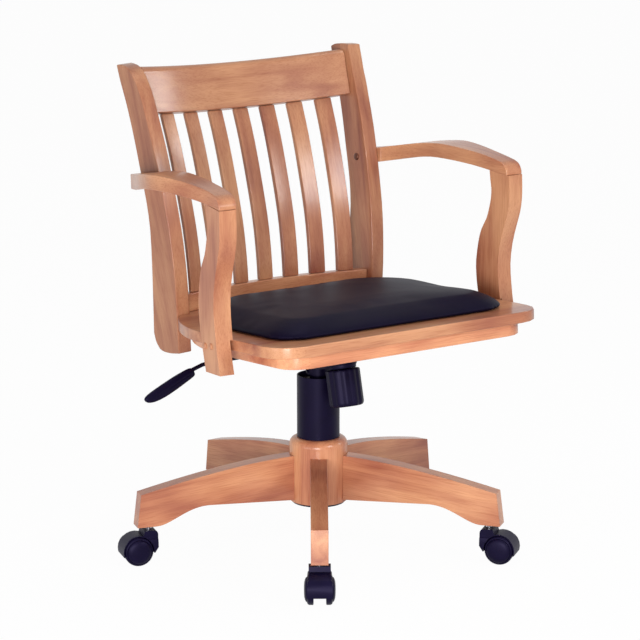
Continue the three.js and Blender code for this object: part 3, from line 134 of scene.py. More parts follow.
# Screw plugs of the arm posts and bolt heads behind the arms, on the left side of the chair. The
# profile of their heads is in shares of the radius.
PLUG_RADIUS = 0.0055
PLUG_PLACES = [(-0.2984, -0.1358, 0.4138), (-0.3006, -0.1571, 0.4173)]
PLUG_DIRECTION = (-0.9946, 0.1040, 0)
BOLT_HEAD_RADIUS = 0.0065
BOLT_HEAD_PLACE = (-0.1998, 0.1412, 0.6381)
BOLT_HEAD_DIRECTION = (0.9989, 0.0030, 0.0480)
DOME_PROFILE = [
    (1.0, -0.12), (1.0, 0.14), (0.94, 0.26), (0.78, 0.37), (0.52, 0.45), (0.25, 0.485), (0.0, 0.49),
]
DOME_SEGMENTS = 32

# The tilt housing's nose: in front of this y it narrows by a share of its width and ends short, both
# to the full over the nose's length.
NOSE_FROM = -0.092
NOSE_LENGTH = 0.045
NOSE_NARROWING = 0.55
NOSE_SHORTENING = 0.019

# Cushion: its start size in shares of the full one, how it is simulated, how much of each point's
# move is kept, and how the filled form is made even. Its foot, up to this height, stays put.
CUSHION_START = (0.999, 0.999, 0.99)
CUSHION_VOXEL = 0.005
CUSHION_PRESSURE = 4.0
CUSHION_STIFFNESS = 40.0
CUSHION_FRAMES = 20
CUSHION_SHARE = 0.3
CUSHION_SMOOTHING = 3
CUSHION_FOOT = 0.0022
CUSHION_MOST = 0.006
RELAX_FACTOR = 0.5
RELAX_STEPS = 4

# Edges, eased by these widths, and what counts as one point, as flat and as sharp.
WOOD_EDGE = 0.0016
HOOD_EDGE = 0.0018
STEM_EDGE = 0.0004
TUBE_EDGE = 0.0012
STEEL_EDGE = 0.0006
ROD_EDGE = 0.0003
EDGE_SEGMENTS = 2
HOOD_EDGE_SEGMENTS = 3
EDGE_ROUNDNESS = 0.5
WELD_DISTANCE = 1e-6
SHARP_ANGLE = math.radians(33)
FLAT_ANGLE = math.radians(0.3)

# Wood: the axis along which its figure is drawn, its grain's direction in the pieces, the figure in
# features to the metre along and across the grain, its colours, and painted light and shade: a share by
# which each piece's colour is made lighter or darker, standing in for how light falls on it.
GRAIN_AXIS = (1, 0, 0)
GRAIN_ACROSS = (1, 0, 0)
GRAIN_UPRIGHT = (0, 0, 1)
GRAIN_LEANING = (0, 0.25, 1)
ARM_GRAIN_TURN = 0.12
LEG_GRAIN_FALL = -0.12
STREAK_SCALE = (2.6, 46.0, 46.0)
FIBRE_SCALE = (22.0, 900.0, 900.0)
CLOUD_SCALE = (5.5, 13.0, 13.0)
STREAKS = {"detail": 4.0, "roughness": 0.55, "distortion": 0.6}
FIBRES = {"detail": 2.0, "roughness": 0.6}
CLOUDS = {"detail": 2.0, "roughness": 0.5}
STREAK_SHARE = 0.4
CLOUD_SHARE = 0.6
SEED_OFFSET = (0.37, 0.61, 0.23)
PLUG_SEED = 40
WOOD_STOPS = [(0.27, (0.215, 0.047, 0.034)), (0.46, (0.425, 0.168, 0.089)), (0.62, (0.58, 0.279, 0.145))]
PORE_STOPS = [(0.34, (0.84, 0.76, 0.72, 1)), (0.52, (1, 1, 1, 1))]
# Painted light and shade: legs, hub and lower board lightened, crest, slats and back posts darkened, in
# place of light.
WOOD_PAINTED_LIGHT_SHARES = {"base_leg": 1.13, "base_hub": 1.15, "seat_lower_board": 1.35, "crest_rail": 0.84,
              "back_slat": 0.86, "back_post": 0.86}
WOOD_ROUGHNESS = (0.36, 0.48)
WOOD_BUMP = (0.05, 0.0004)
LACQUER = {"Coat Weight": 0.6, "Coat Roughness": 0.2, "Coat IOR": 1.5, "Specular IOR Level": 0.05}

# Black plastic, enamel and vinyl: 8-bit sRGB colours, noise in features to the metre, colour stops
# in shares of the colour, bumps as (strength, distance).
WHEEL_BLACK = (11, 7, 31)
KNOB_BLACK = (10, 6, 28)
ENAMEL_BLACK = (8, 5, 22)
BLACK_TINT = (0.62, 0.55, 0.95, 1)
EVEN_SCALE = (1, 1, 1)
SPARKS = {"scale": 1400.0, "detail": 2.0, "roughness": 0.6}
PLASTIC_CLOUDS = {"scale": 45.0, "detail": 3.0, "roughness": 0.5}
PLASTIC_STOPS = [(0.35, 0.85), (0.65, 1.15)]
PLASTIC_ROUGHNESS = 0.42
ENAMEL_ROUGHNESS = 0.36
SMOOTHER_BY = 0.05
ROUGHER_BY = 0.07
PLASTIC_BUMP = (0.08, 0.0003)
PLASTIC_SHINE = {"Specular IOR Level": 0.14, "Specular Tint": BLACK_TINT}
VINYL_DARK = (6, 4, 20)
VINYL_LIGHT = (11, 7, 26)
VINYL_CLOUDS = {"scale": 18.0, "detail": 3.0, "roughness": 0.5}
VINYL_DARK_STOP = 0.3
VINYL_LIGHT_STOP = 0.7
VINYL_PEBBLES = 700.0
VINYL_ROUGHNESS = (0.44, 0.54)
VINYL_BUMP = (0.12, 0.0004)
VINYL_SHINE = {"Specular IOR Level": 0.09, "Specular Tint": BLACK_TINT}

# Bare metals: chrome and steel in 8-bit sRGB, bronzed bolts in linear shares.
CHROME_COLOUR = (214, 212, 220)
CHROME_ROUGHNESS = 0.12
STEEL_COLOUR = (150, 150, 158)
STEEL_ROUGHNESS = 0.3
BRONZED_COLOUR = (0.16, 0.07, 0.05)
BRONZED_ROUGHNESS = 0.4
BRUSH_SCALE = (60, 60, 900)
BRUSHING = {"detail": 3.0, "roughness": 0.6}
BRUSH_STOPS = [(0.3, 0.88), (0.7, 1.0)]
BRUSH_ROUGHER_BY = 0.1
METALLIC = 1.0

# sRGB's curve.
SRGB_FULL = 255
SRGB_KNEE = 0.04045
SRGB_SLOPE = 12.92
SRGB_OFFSET = 0.055
SRGB_POWER = 2.4

# Stage: a pale floor, a white backdrop with a weaker light of its own on the chair, and soft boxes
# as (place, what it faces, width, height, power).
FLOOR_HALF_WIDTH = 14.0
FLOOR_COLOUR = (0.85, 0.85, 0.85, 1)
FLOOR_GLOW = 0.97
SKY_COLOUR = (0.97, 0.98, 1.0, 1)
SKY_STRENGTH = 0.22
WHITE = (1, 1, 1, 1)
WHITE_STRENGTH = 1.0
CHAIR_MIDDLE = (0, 0, 0.5)
SOFT_BOXES = {
    "front": ((-2.2, -2.6, 0.6), CHAIR_MIDDLE, 1.3, 1.0, 86),
    "left": ((-2.9, -0.6, 0.6), CHAIR_MIDDLE, 1.2, 1.0, 18),
    "top": ((0.1, -0.4, 3.2), CHAIR_MIDDLE, 1.3, 1.3, 23),
    "right_strip": ((2.55, -0.98, 1.60), (-0.19, 0.18, 0.79), 0.42, 0.34, 8),
    "front_strip": ((0.80, -2.72, 1.66), (0.1, 0.15, 0.61), 1.1, 0.34, 28),
}


def linear_channel(value):
    """One channel of 8-bit sRGB as a linear share."""
    share = value / SRGB_FULL
    if share <= SRGB_KNEE:
        return share / SRGB_SLOPE
    return ((share + SRGB_OFFSET) / (1 + SRGB_OFFSET)) ** SRGB_POWER


def linear(colour):
    """A linear colour from 8-bit sRGB."""
    return tuple(linear_channel(value) for value in colour) + (1.0,)


def seat_matrix():
    """From the seat unit's own level frame to the chair's."""
    back = APRON_THICKNESS * math.sin(SEAT_PITCH)
    pitch = Matrix.Rotation(-SEAT_PITCH, MATRIX_SIZE, "X")
    return Matrix.Translation((0, AXIS_Y - back, SEAT_HEIGHT)) @ pitch


def leg_turn(index):
    """The direction of a leg, as an angle about the column."""
    return FIRST_LEG_TURN + index * LEG_TURN


# Materials.

class Graph:
    """A material's node tree, built by short calls."""

    def __init__(self, name):
        self.material = bpy.data.materials.new(name)
        self.material.use_nodes = True
        self.nodes = self.material.node_tree.nodes
        self.links = self.material.node_tree.links
        self.nodes.clear()

    def add(self, kind, **settings):
        node = self.nodes.new(kind)
        for key, value in settings.items():
            setattr(node, key, value)
        return node

    def link(self, source, target):
        self.links.new(source, target)

    def coordinates(self, scale, turn=(0, 0, 0), offset=(0, 0, 0)):
        """Object coordinates, turned so that the grain runs along X, then scaled."""
        place = self.add("ShaderNodeTexCoord")
        turned = self.add("ShaderNodeMapping")
        turned.inputs["Location"].default_value = offset
        turned.inputs["Rotation"].default_value = turn
        self.link(place.outputs["Object"], turned.inputs["Vector"])
        scaled = self.add("ShaderNodeMapping")
        scaled.inputs["Scale"].default_value = scale
        self.link(turned.outputs["Vector"], scaled.inputs["Vector"])
        return scaled.outputs["Vector"]

    def noise(self, vector, detail, roughness, scale=1.0, distortion=0.0):
        node = self.add("ShaderNodeTexNoise")
        node.inputs["Scale"].default_value = scale
        node.inputs["Detail"].default_value = detail
        node.inputs["Roughness"].default_value = roughness
        node.inputs["Distortion"].default_value = distortion
        self.link(vector, node.inputs["Vector"])
        return node.outputs["Fac"]

    def ramp(self, value, stops):
        node = self.add("ShaderNodeValToRGB")
        elements = node.color_ramp.elements
        while len(elements) < len(stops):
            elements.new(1.0)
        for element, (place, colour) in zip(elements, stops):
            element.position = place
            element.color = colour
        self.link(value, node.inputs["Fac"])
        return node.outputs["Color"]

    def spread(self, value, low, high):
        node = self.add("ShaderNodeMapRange")
        node.inputs["To Min"].default_value = low
        node.inputs["To Max"].default_value = high
        self.link(value, node.inputs["Value"])
        return node.outputs["Result"]

    def calculate(self, operation, first, second):
        node = self.add("ShaderNodeMath", operation=operation)
        for socket, value in zip(node.inputs, (first, second)):
            if isinstance(value, (int, float)):
                socket.default_value = value
            else:
                self.link(value, socket)
        return node.outputs["Value"]

    def mix(self, factor, first, second, blend):
        node = self.add("ShaderNodeMix", data_type="RGBA", blend_type=blend)
        colours = [socket for socket in node.inputs if socket.type == "RGBA"]
        for socket, value in zip([node.inputs[0], *colours], (factor, first, second)):
            if isinstance(value, (int, float, tuple)):
                socket.default_value = value
            else:
                self.link(value, socket)
        return next(socket for socket in node.outputs if socket.type == "RGBA")

    def bump(self, height, strength, distance):
        node = self.add("ShaderNodeBump")
        node.inputs["Strength"].default_value = strength
        node.inputs["Distance"].default_value = distance
        self.link(height, node.inputs["Height"])
        return node.outputs["Normal"]

    def surface(self, constants, colour=None, roughness=None, normal=None):
        shader = self.add("ShaderNodeBsdfPrincipled")
        for key, value in constants.items():
            shader.inputs[key].default_value = value
        for key, source in (("Base Color", colour), ("Roughness", roughness), ("Normal", normal)):
            if source is not None:
                self.link(source, shader.inputs[key])
        output = self.add("ShaderNodeOutputMaterial")
        self.link(shader.outputs["BSDF"], output.inputs["Surface"])
        return self.material


def rgba(colour, share=1.0):
    return tuple(channel * share for channel in colour[:3]) + (1.0,)


def shaded(colour, stops):
    """Colour stops from stops that give shares of one colour."""
    return [(place, rgba(colour, share)) for place, share in stops]


def wood(name, grain, seed, painted_light_share=1.0):
    """Satin lacquered fruitwood, with its grain along one direction of the piece; its colour is scaled
    by a share of painted light or shade.
    """
    graph = Graph(f"wood_{name}")
    turn = Vector(grain).rotation_difference(Vector(GRAIN_AXIS)).to_euler()
    offset = tuple(step * seed for step in SEED_OFFSET)
    streak = graph.noise(graph.coordinates(STREAK_SCALE, turn, offset), **STREAKS)
    fibre = graph.noise(graph.coordinates(FIBRE_SCALE, turn, offset), **FIBRES)
    cloud = graph.noise(graph.coordinates(CLOUD_SCALE, turn, offset), **CLOUDS)
    figure = graph.calculate("ADD", graph.calculate("MULTIPLY", streak, STREAK_SHARE),
                             graph.calculate("MULTIPLY", cloud, CLOUD_SHARE))
    # The stops' colours are scaled by the piece's share of painted light or shade.
    colour = graph.ramp(figure, [(place, rgba(shade, painted_light_share)) for place, shade in WOOD_STOPS])
    pores = graph.ramp(fibre, PORE_STOPS)
    colour = graph.mix(1.0, colour, pores, "MULTIPLY")
    roughness = graph.spread(fibre, *WOOD_ROUGHNESS)
    normal = graph.bump(fibre, *WOOD_BUMP)
    return graph.surface(LACQUER, colour, roughness, normal)


def black_plastic(name, colour, roughness=PLASTIC_ROUGHNESS):
    """Moulded plastic or enamel with a fine spark texture."""
    graph = Graph(name)
    place = graph.coordinates(EVEN_SCALE)
    fine = graph.noise(place, **SPARKS)
    broad = graph.noise(place, **PLASTIC_CLOUDS)
    tint = graph.ramp(broad, shaded(linear(colour), PLASTIC_STOPS))
    rough = graph.spread(broad, roughness - SMOOTHER_BY, roughness + ROUGHER_BY)
    return graph.surface(PLASTIC_SHINE, tint, rough, graph.bump(fine, *PLASTIC_BUMP))


def vinyl():
    """Smooth cushion vinyl with a fine pebble grain."""
    graph = Graph("cushion_vinyl")
    place = graph.coordinates(EVEN_SCALE)
    cells = graph.add("ShaderNodeTexVoronoi")
    cells.inputs["Scale"].default_value = VINYL_PEBBLES
    graph.link(place, cells.inputs["Vector"])
    broad = graph.noise(place, **VINYL_CLOUDS)
    colour = graph.ramp(broad, [(VINYL_DARK_STOP, linear(VINYL_DARK)),
                                (VINYL_LIGHT_STOP, linear(VINYL_LIGHT))])
    rough = graph.spread(broad, *VINYL_ROUGHNESS)
    return graph.surface(VINYL_SHINE, colour, rough, graph.bump(cells.outputs["Distance"], *VINYL_BUMP))


def metal(name, colour, roughness):
    """Bare metal with faint brushing; its colour is linear."""
    graph = Graph(name)
    brushed = graph.noise(graph.coordinates(BRUSH_SCALE), **BRUSHING)
    tint = graph.ramp(brushed, shaded(colour, BRUSH_STOPS))
    rough = graph.spread(brushed, roughness, roughness + BRUSH_ROUGHER_BY)
    return graph.surface({"Metallic": METALLIC}, tint, rough)


# Pieces.

def body_of(node):
    groups = frame["record"]["behaviour"]["bodies"]
    return next(body for body, members in groups.items() if node in members)


def place_piece(name, mesh, node, material):
    """Shows a mesh in place of a CAD node."""
    piece = bpy.data.objects.new(name, mesh)
    bpy.context.scene.collection.objects.link(piece)
    mesh.materials.clear()
    mesh.materials.append(material)
    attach(piece, body_of(node))
    return piece


def smooth(piece):
    """Shades a piece as curved, with its flat faces kept flat."""
    for polygon in piece.data.polygons:
        polygon.use_smooth = True
    weighted = piece.modifiers.new("normals", "WEIGHTED_NORMAL")
    weighted.keep_sharp = True
    return piece


def softened(node, material, width=WOOD_EDGE, segments=EDGE_SEGMENTS):
    """The CAD node's own form, with its flats merged, its edges eased and its curves smooth."""
    source = bmesh.new()
    source.from_mesh(frame["nodes"][node].data)
    bmesh.ops.remove_doubles(source, verts=source.verts, dist=WELD_DISTANCE)
    bmesh.ops.dissolve_limit(source, angle_limit=FLAT_ANGLE, verts=source.verts, edges=source.edges)
    edges = [edge for edge in source.edges
             if len(edge.link_faces) == 2 and edge.calc_face_angle() > SHARP_ANGLE]
    bmesh.ops.bevel(source, geom=edges, offset=width, segments=segments, profile=EDGE_ROUNDNESS,
                    affect="EDGES", clamp_overlap=True)
    mesh = bpy.data.meshes.new(f"{node}_softened")
    source.to_mesh(mesh)
    source.free()
    piece = place_piece(f"{node}_softened", mesh, node, material)
    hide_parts(node)
    return smooth(piece)


def lofted(name, rings, matrix, node, material):
    """Skin over closed rings of equally many points; a ring of one point is a pole."""
    source = bmesh.new()
    made = [[source.verts.new(point) for point in ring] for ring in rings]
    for low, high in zip(made, made[1:]):
        count = max(len(low), len(high))
        for i in range(count):
            after = (i + 1) % count
            if len(low) == 1:
                source.faces.new((low[0], high[after], high[i]))
            elif len(high) == 1:
                source.faces.new((low[i], low[after], high[0]))
            else:
                source.faces.new((low[i], low[after], high[after], high[i]))
    for end in (made[0], made[-1]):
        if len(end) > 1:
            source.faces.new(end)
    bmesh.ops.recalc_face_normals(source, faces=source.faces)
    source.transform(matrix)
    mesh = bpy.data.meshes.new(name)
    source.to_mesh(mesh)
    source.free()
    return smooth(place_piece(name, mesh, node, material))


def circle(radius, height, segments):
    """A ring about z, or its middle where the radius is zero."""
    if radius == 0:
        return [(0, 0, height)]
    angles = [2 * math.pi * i / segments for i in range(segments)]
    return [(radius * math.cos(angle), radius * math.sin(angle), height) for angle in angles]


def lathe(name, profile, matrix, node, material, segments=WHEEL_SEGMENTS):
    """A profile of (radius, z) turned about z."""
    rings = [circle(radius, height, segments) for radius, height in profile]
    return lofted(name, rings, matrix, node, material)


def grain_directions():
    """Every wooden node with the direction of its grain."""
    grain = {"base_hub": GRAIN_UPRIGHT}
    for node in ("seat_board", "seat_lower_board", "crest_rail", "lower_rail"):
        grain[node] = GRAIN_ACROSS
    for word, side in (("left", 1), ("right", -1)):
        grain[f"back_post_{word}"] = GRAIN_LEANING
        grain[f"arm_post_{word}"] = GRAIN_UPRIGHT
        grain[f"armrest_{word}"] = (side * ARM_GRAIN_TURN, 1, 0)
    for i in range(SLAT_COUNT):
        grain[f"back_slat_{i + 1}"] = GRAIN_LEANING
    for i in range(LEG_COUNT):
        grain[f"base_leg_{i + 1}"] = (math.cos(leg_turn(i)), math.sin(leg_turn(i)), LEG_GRAIN_FALL)
    return grain


def wooden_pieces():
    for seed, (node, direction) in enumerate(grain_directions().items()):
        # Each piece takes its share of painted light or shade from the first word its name starts with.
        painted_light_share = next((share for word, share in WOOD_PAINTED_LIGHT_SHARES.items() if node.startswith(word)), 1.0)
        softened(node, wood(node, direction, seed + 1, painted_light_share))


def wheel_piece(leg, word, side, plastic):
    """A wheel on the left or right side of a leg's caster."""
    node = f"caster_wheel_{word}_{leg + 1}"
    angle = leg_turn(leg)
    centre = (WHEEL_REACH * math.cos(angle), AXIS_Y + WHEEL_REACH * math.sin(angle), WHEEL_RADIUS)
    outwards = Matrix.Rotation(-side * math.pi / 2, MATRIX_SIZE, "X")
    matrix = Matrix.Translation(centre) @ Matrix.Rotation(angle, MATRIX_SIZE, "Z") @ outwards
    wheel = lathe(f"wheel_{word}_{leg + 1}", WHEEL_PROFILE, matrix, node, plastic)
    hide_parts(node)


def caster_pieces(plastic, chrome):
    for i in range(LEG_COUNT):
        softened(f"caster_hood_{i + 1}", plastic, HOOD_EDGE, HOOD_EDGE_SEGMENTS)
        softened(f"caster_stem_{i + 1}", chrome, STEM_EDGE)
        wheel_piece(i, "left", 1, plastic)
        wheel_piece(i, "right", -1, plastic)


def knob_ring(radius, height, share):
    """A ring of the knob, with a share of the flutes' depth."""
    if radius == 0:
        return [(0, 0, height)]
    ring = []
    for i in range(KNOB_SEGMENTS):
        angle = 2 * math.pi * i / KNOB_SEGMENTS
        lobe = abs(math.cos(KNOB_FLUTE_COUNT * angle / 2)) ** KNOB_FLUTE_BLUNTNESS
        reach = radius + KNOB_FLUTE_DEPTH * share * (2 * lobe - 1)
        ring.append((reach * math.cos(angle), reach * math.sin(angle), height))
    return ring


def knob_piece(material):
    """The knob, and the housing's collar that it turns against."""
    matrix = Matrix.Translation(KNOB_PLACE) @ Matrix.Rotation(-KNOB_LEAN, MATRIX_SIZE, "X")
    rings = [knob_ring(*row) for row in KNOB_PROFILE]
    knob = lofted("knob", rings, matrix, "tension_knob", material)
    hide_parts("tension_knob")
    lathe("knob_collar", COLLAR_PROFILE, matrix, "tilt_housing", material)


def handle_ring(distance, lowest, highest, half):
    """One section of the handle; a shallow groove runs along both its sides."""
    grooved = HANDLE_GROOVE_START <= distance <= HANDLE_GROOVE_END
    side = []
    for i, (across, up) in enumerate(HANDLE_SECTION):
        share = HANDLE_GROOVE_SHARE if grooved and i == HANDLE_GROOVE_POINT else 1
        side.append((across * share * half, lowest + (highest - lowest) * up))
    outline = side + [(-across, up) for across, up in reversed(side)]
    return [tuple(part / MILLIMETRES_PER_METRE for part in (distance, across, up))
            for across, up in outline]


def handle_piece(material):
    """The lever's handle, from its tip inwards along the rod."""
    matrix = Matrix.Translation(HANDLE_TIP) @ Matrix.Rotation(-HANDLE_SLOPE, MATRIX_SIZE, "Y")
    rings = [handle_ring(*row) for row in HANDLE_STATIONS]
    handle = lofted("handle", rings, matrix, "lever_handle", material)
    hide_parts("lever_handle")


def mirrored(vector):
    """A place or direction on the left side as it is on the right side."""
    return Vector((-vector[0], vector[1], vector[2]))


def dome(name, place, direction, radius, node, material):
    """A low round head, standing on a face."""
    turn = Vector(direction).to_track_quat("Z", "Y").to_matrix().to_4x4()
    profile = [(radius * share, radius * rise) for share, rise in DOME_PROFILE]
    lathe(name, profile, Matrix.Translation(place) @ turn, node, material, DOME_SEGMENTS)


def small_heads(plug_wood, bolt_metal):
    """The screw plugs and bolt heads of both arms."""
    for word, turn in (("left", Vector), ("right", mirrored)):
        for i, place in enumerate(PLUG_PLACES):
            dome(f"arm_plug_{word}_{i + 1}", turn(place), turn(PLUG_DIRECTION), PLUG_RADIUS,
                 f"arm_post_{word}", plug_wood)
        dome(f"arm_bolt_{word}", turn(BOLT_HEAD_PLACE), turn(BOLT_HEAD_DIRECTION), BOLT_HEAD_RADIUS,
             f"back_post_{word}", bolt_metal)


def housing_piece(material):
    """The tilt housing, with its nose narrowed and drawn in."""
    housing = softened("tilt_housing", material, STEEL_EDGE)
    source = bmesh.new()
    source.from_mesh(housing.data)
    bmesh.ops.bisect_plane(source, geom=source.verts[:] + source.edges[:] + source.faces[:],
                           plane_co=(0, NOSE_FROM, 0), plane_no=(0, 1, 0))
    for vertex in source.verts:
        share = (NOSE_FROM - vertex.co.y) / NOSE_LENGTH
        if share > 0:
            vertex.co.x *= 1 - NOSE_NARROWING * share
            vertex.co.y += NOSE_SHORTENING * share
    source.to_mesh(housing.data)
    source.free()


def welded(node, matrix):
    """A CAD node's mesh in another frame, with its split points joined."""
    source = bmesh.new()
    source.from_mesh(frame["nodes"][node].data)
    bmesh.ops.remove_doubles(source, verts=source.verts, dist=WELD_DISTANCE)
    source.transform(matrix)
    mesh = bpy.data.meshes.new(f"{node}_welded")
    source.to_mesh(mesh)
    source.free()
    return mesh


def evaluated_copy(piece):
    """The piece's mesh with its modifiers applied."""
    graph = bpy.context.evaluated_depsgraph_get()
    graph.update()
    return bpy.data.meshes.new_from_object(piece.evaluated_get(graph))


def remeshed(mesh, voxel):
    """The mesh on an even net of points, slightly relaxed."""
    piece = bpy.data.objects.new("remeshed", mesh)
    bpy.context.scene.collection.objects.link(piece)
    remesh = piece.modifiers.new("voxels", "REMESH")
    remesh.mode = "VOXEL"
    remesh.voxel_size = voxel
    relax = piece.modifiers.new("relax", "SMOOTH")
    relax.factor = RELAX_FACTOR
    relax.iterations = RELAX_STEPS
    result = evaluated_copy(piece)
    bpy.data.objects.remove(piece)
    return result


def cloth_modifier(piece, pinned):
    """Stiff cloth, blown up from within and held by a group of its points."""
    cloth = piece.modifiers.new("cloth", "CLOTH")
    cloth.settings.use_pressure = True
    cloth.settings.uniform_pressure_force = CUSHION_PRESSURE
    cloth.settings.vertex_group_mass = pinned
    cloth.settings.tension_stiffness = CUSHION_STIFFNESS
    cloth.settings.compression_stiffness = CUSHION_STIFFNESS
    cloth.settings.shear_stiffness = CUSHION_STIFFNESS
    cloth.settings.bending_stiffness = CUSHION_STIFFNESS
    cloth.settings.effector_weights.gravity = 0
    cloth.point_cache.frame_start = 1
    cloth.point_cache.frame_end = CUSHION_FRAMES


def filled(mesh, foot):
    """Blows a closed mesh up as a cushion's filling does, while its foot stays on the board."""
    piece = bpy.data.objects.new("filling", mesh)
    bpy.context.scene.collection.objects.link(piece)
    pinned = piece.vertex_groups.new(name="foot")
    pinned.add([v.index for v in mesh.vertices if v.co.z < foot], 1.0, "REPLACE")
    cloth_modifier(piece, pinned.name)
    for number in range(1, CUSHION_FRAMES + 1):
        bpy.context.scene.frame_set(number)
    result = evaluated_copy(piece)
    for before, after in zip(mesh.vertices, result.vertices):
        move = after.co - before.co
        reach = min(move.length, CUSHION_MOST) * CUSHION_SHARE
        after.co = before.co + move.normalized() * reach
    bpy.data.objects.remove(piece)
    bpy.context.scene.frame_set(1)
    return result


def limits(mesh):
    """The lowest and the highest corner of a mesh's box."""
    axes = [[v.co[axis] for v in mesh.vertices] for axis in range(3)]
    return Vector([min(values) for values in axes]), Vector([max(values) for values in axes])


def cushion_mesh(mesh):
    """The cushion's solid blown up a little, and kept inside the solid's box."""
    low, high = limits(mesh)
    middle = Vector(((low.x + high.x) / 2, (low.y + high.y) / 2, low.z))
    for vertex in mesh.vertices:
        offset = vertex.co - middle
        vertex.co = middle + Vector([part * share for part, share in zip(offset, CUSHION_START)])
    mesh = filled(remeshed(mesh, CUSHION_VOXEL), low.z + CUSHION_FOOT)
    for vertex in mesh.vertices:
        vertex.co = Vector([min(max(part, least), most)
                            for part, least, most in zip(vertex.co, low, high)])
    return mesh


def even_out(piece):
    """Smooths the cushion and makes its mesh finer, as it is shown."""
    even = piece.modifiers.new("even", "SMOOTH")
    even.factor = RELAX_FACTOR
    even.iterations = CUSHION_SMOOTHING
    finer = piece.modifiers.new("finer", "SUBSURF")
    finer.levels = 1
    finer.render_levels = 1


def cushion_piece(material):
    """The cushion, simulated in the seat's level frame."""
    level = seat_matrix()
    mesh = welded("cushion", level.inverted())
    mesh = cushion_mesh(mesh)
    mesh.transform(level)
    for polygon in mesh.polygons:
        polygon.use_smooth = True
    piece = place_piece("seat_cushion", mesh, "cushion", material)
    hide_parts("cushion")
    even_out(piece)


def tube_pieces(plastic):
    for node in ("cover_tube", "guide_bush"):
        softened(node, plastic, TUBE_EDGE)


def steel_pieces(enamel, drawn_steel):
    """The mechanism, the column and the plate under the hub; the spring gets a mesh of its own."""
    housing_piece(enamel)
    for node in ("hub_bottom_plate", "outer_tube", "gas_cylinder", "seat_plate", "lever_rocker",
                 "lever_rod", "tension_bolt"):
        softened(node, enamel, STEEL_EDGE)
    for node in ("piston_rod", "release_button", "tilt_axle"):
        softened(node, drawn_steel, ROD_EDGE)
    spring = softened("tension_spring", drawn_steel, ROD_EDGE)
    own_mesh(spring)


# Stage.

def floor_and_backdrop():
    """A floor that is nearly white to the camera, and keeps a trace of the shadow."""
    graph = Graph("floor")
    diffuse = graph.add("ShaderNodeBsdfDiffuse")
    diffuse.inputs["Color"].default_value = FLOOR_COLOUR
    glow = graph.add("ShaderNodeEmission")
    path = graph.add("ShaderNodeLightPath")
    seen = graph.calculate("MAXIMUM", path.outputs["Is Camera Ray"],
                           graph.calculate("MAXIMUM", path.outputs["Is Glossy Ray"],
                                           path.outputs["Is Transmission Ray"]))
    mixed = graph.add("ShaderNodeMixShader")
    graph.link(graph.calculate("MULTIPLY", seen, FLOOR_GLOW), mixed.inputs["Fac"])
    graph.link(diffuse.outputs["BSDF"], mixed.inputs[1])
    graph.link(glow.outputs["Emission"], mixed.inputs[2])
    output = graph.add("ShaderNodeOutputMaterial")
    graph.link(mixed.outputs["Shader"], output.inputs["Surface"])
    signs = ((-1, -1), (1, -1), (1, 1), (-1, 1))
    corners = [(x * FLOOR_HALF_WIDTH, y * FLOOR_HALF_WIDTH, 0) for x, y in signs]
    mesh = bpy.data.meshes.new("floor")
    mesh.from_pydata(corners, [], [(0, 1, 2, 3)])
    mesh.materials.append(graph.material)
    floor = bpy.data.objects.new("floor", mesh)
    bpy.context.scene.collection.objects.link(floor)


def background(nodes, colour, strength):
    """A plain background of the world's node tree."""
    node = nodes.new("ShaderNodeBackground")
    node.inputs["Color"].default_value = colour
    node.inputs["Strength"].default_value = strength
    return node


def either(nodes, links, first, second):
    """The greater of two values."""
    node = nodes.new("ShaderNodeMath")
    node.operation = "MAXIMUM"
    links.new(first, node.inputs[0])
    links.new(second, node.inputs[1])
    return node.outputs["Value"]


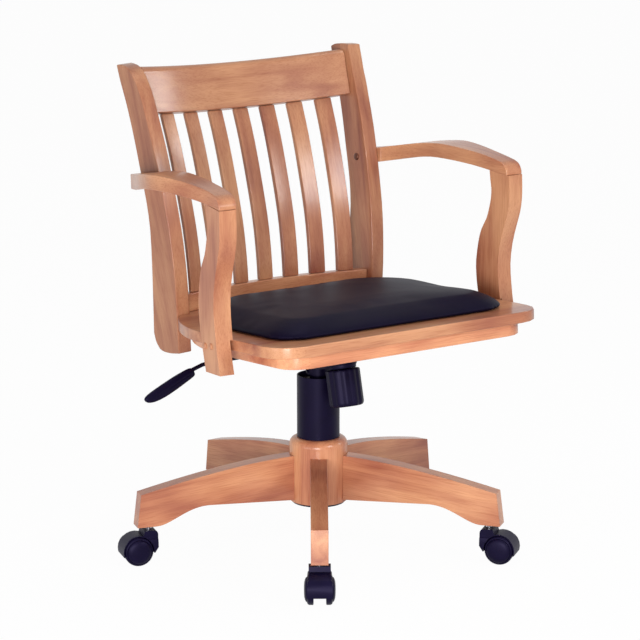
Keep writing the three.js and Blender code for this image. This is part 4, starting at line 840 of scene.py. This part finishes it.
def world():
    """White to the camera and in reflections, and a soft pale light on the chair."""
    scene_world = bpy.data.worlds.new("studio")
    bpy.context.scene.world = scene_world
    scene_world.use_nodes = True
    nodes = scene_world.node_tree.nodes
    links = scene_world.node_tree.links
    nodes.clear()
    path = nodes.new("ShaderNodeLightPath")
    shiny = either(nodes, links, path.outputs["Is Glossy Ray"], path.outputs["Is Transmission Ray"])
    seen = either(nodes, links, path.outputs["Is Camera Ray"], shiny)
    lit = background(nodes, SKY_COLOUR, SKY_STRENGTH)
    white = background(nodes, WHITE, WHITE_STRENGTH)
    mixed = nodes.new("ShaderNodeMixShader")
    links.new(seen, mixed.inputs["Fac"])
    links.new(lit.outputs["Background"], mixed.inputs[1])
    links.new(white.outputs["Background"], mixed.inputs[2])
    output = nodes.new("ShaderNodeOutputWorld")
    links.new(mixed.outputs["Shader"], output.inputs["Surface"])


def soft_box(name, place, target, width, height, power):
    light = bpy.data.lights.new(name, "AREA")
    light.shape = "RECTANGLE"
    light.size = width
    light.size_y = height
    light.energy = power
    lamp = bpy.data.objects.new(name, light)
    lamp.location = place
    lamp.rotation_euler = (Vector(target) - Vector(place)).to_track_quat("-Z", "Y").to_euler()
    bpy.context.scene.collection.objects.link(lamp)


def lights():
    for name, settings in SOFT_BOXES.items():
        soft_box(name, *settings)


def camera():
    data = bpy.data.cameras.new("photograph")
    data.lens = CAMERA_LENS
    data.sensor_width = CAMERA_SENSOR
    data.clip_end = CAMERA_FAR
    view = bpy.data.objects.new("photograph", data)
    back = -CAMERA_FORWARD
    right = CAMERA_UP.cross(back).normalized()
    up = back.cross(right).normalized()
    matrix = Matrix((right, up, back)).transposed().to_4x4()
    matrix.translation = CAMERA_PLACE
    view.matrix_world = matrix
    bpy.context.scene.collection.objects.link(view)
    bpy.context.scene.camera = view


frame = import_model()
bpy.context.scene.view_settings.view_transform = "Standard"
camera()

wheel_plastic = black_plastic("caster_plastic", WHEEL_BLACK)
knob_plastic = black_plastic("knob_plastic", KNOB_BLACK)
enamel = black_plastic("black_enamel", ENAMEL_BLACK, ENAMEL_ROUGHNESS)
chrome = metal("chrome", linear(CHROME_COLOUR), CHROME_ROUGHNESS)
drawn_steel = metal("drawn_steel", linear(STEEL_COLOUR), STEEL_ROUGHNESS)

wooden_pieces()
caster_pieces(wheel_plastic, chrome)
knob_piece(knob_plastic)
handle_piece(knob_plastic)
tube_pieces(knob_plastic)
steel_pieces(enamel, drawn_steel)
plug_wood = wood("plugs", GRAIN_UPRIGHT, PLUG_SEED)
bolt_metal = metal("bronzed_bolt", BRONZED_COLOUR, BRONZED_ROUGHNESS)
small_heads(plug_wood, bolt_metal)
cushion_piece(vinyl())

floor_and_backdrop()
world()
lights()
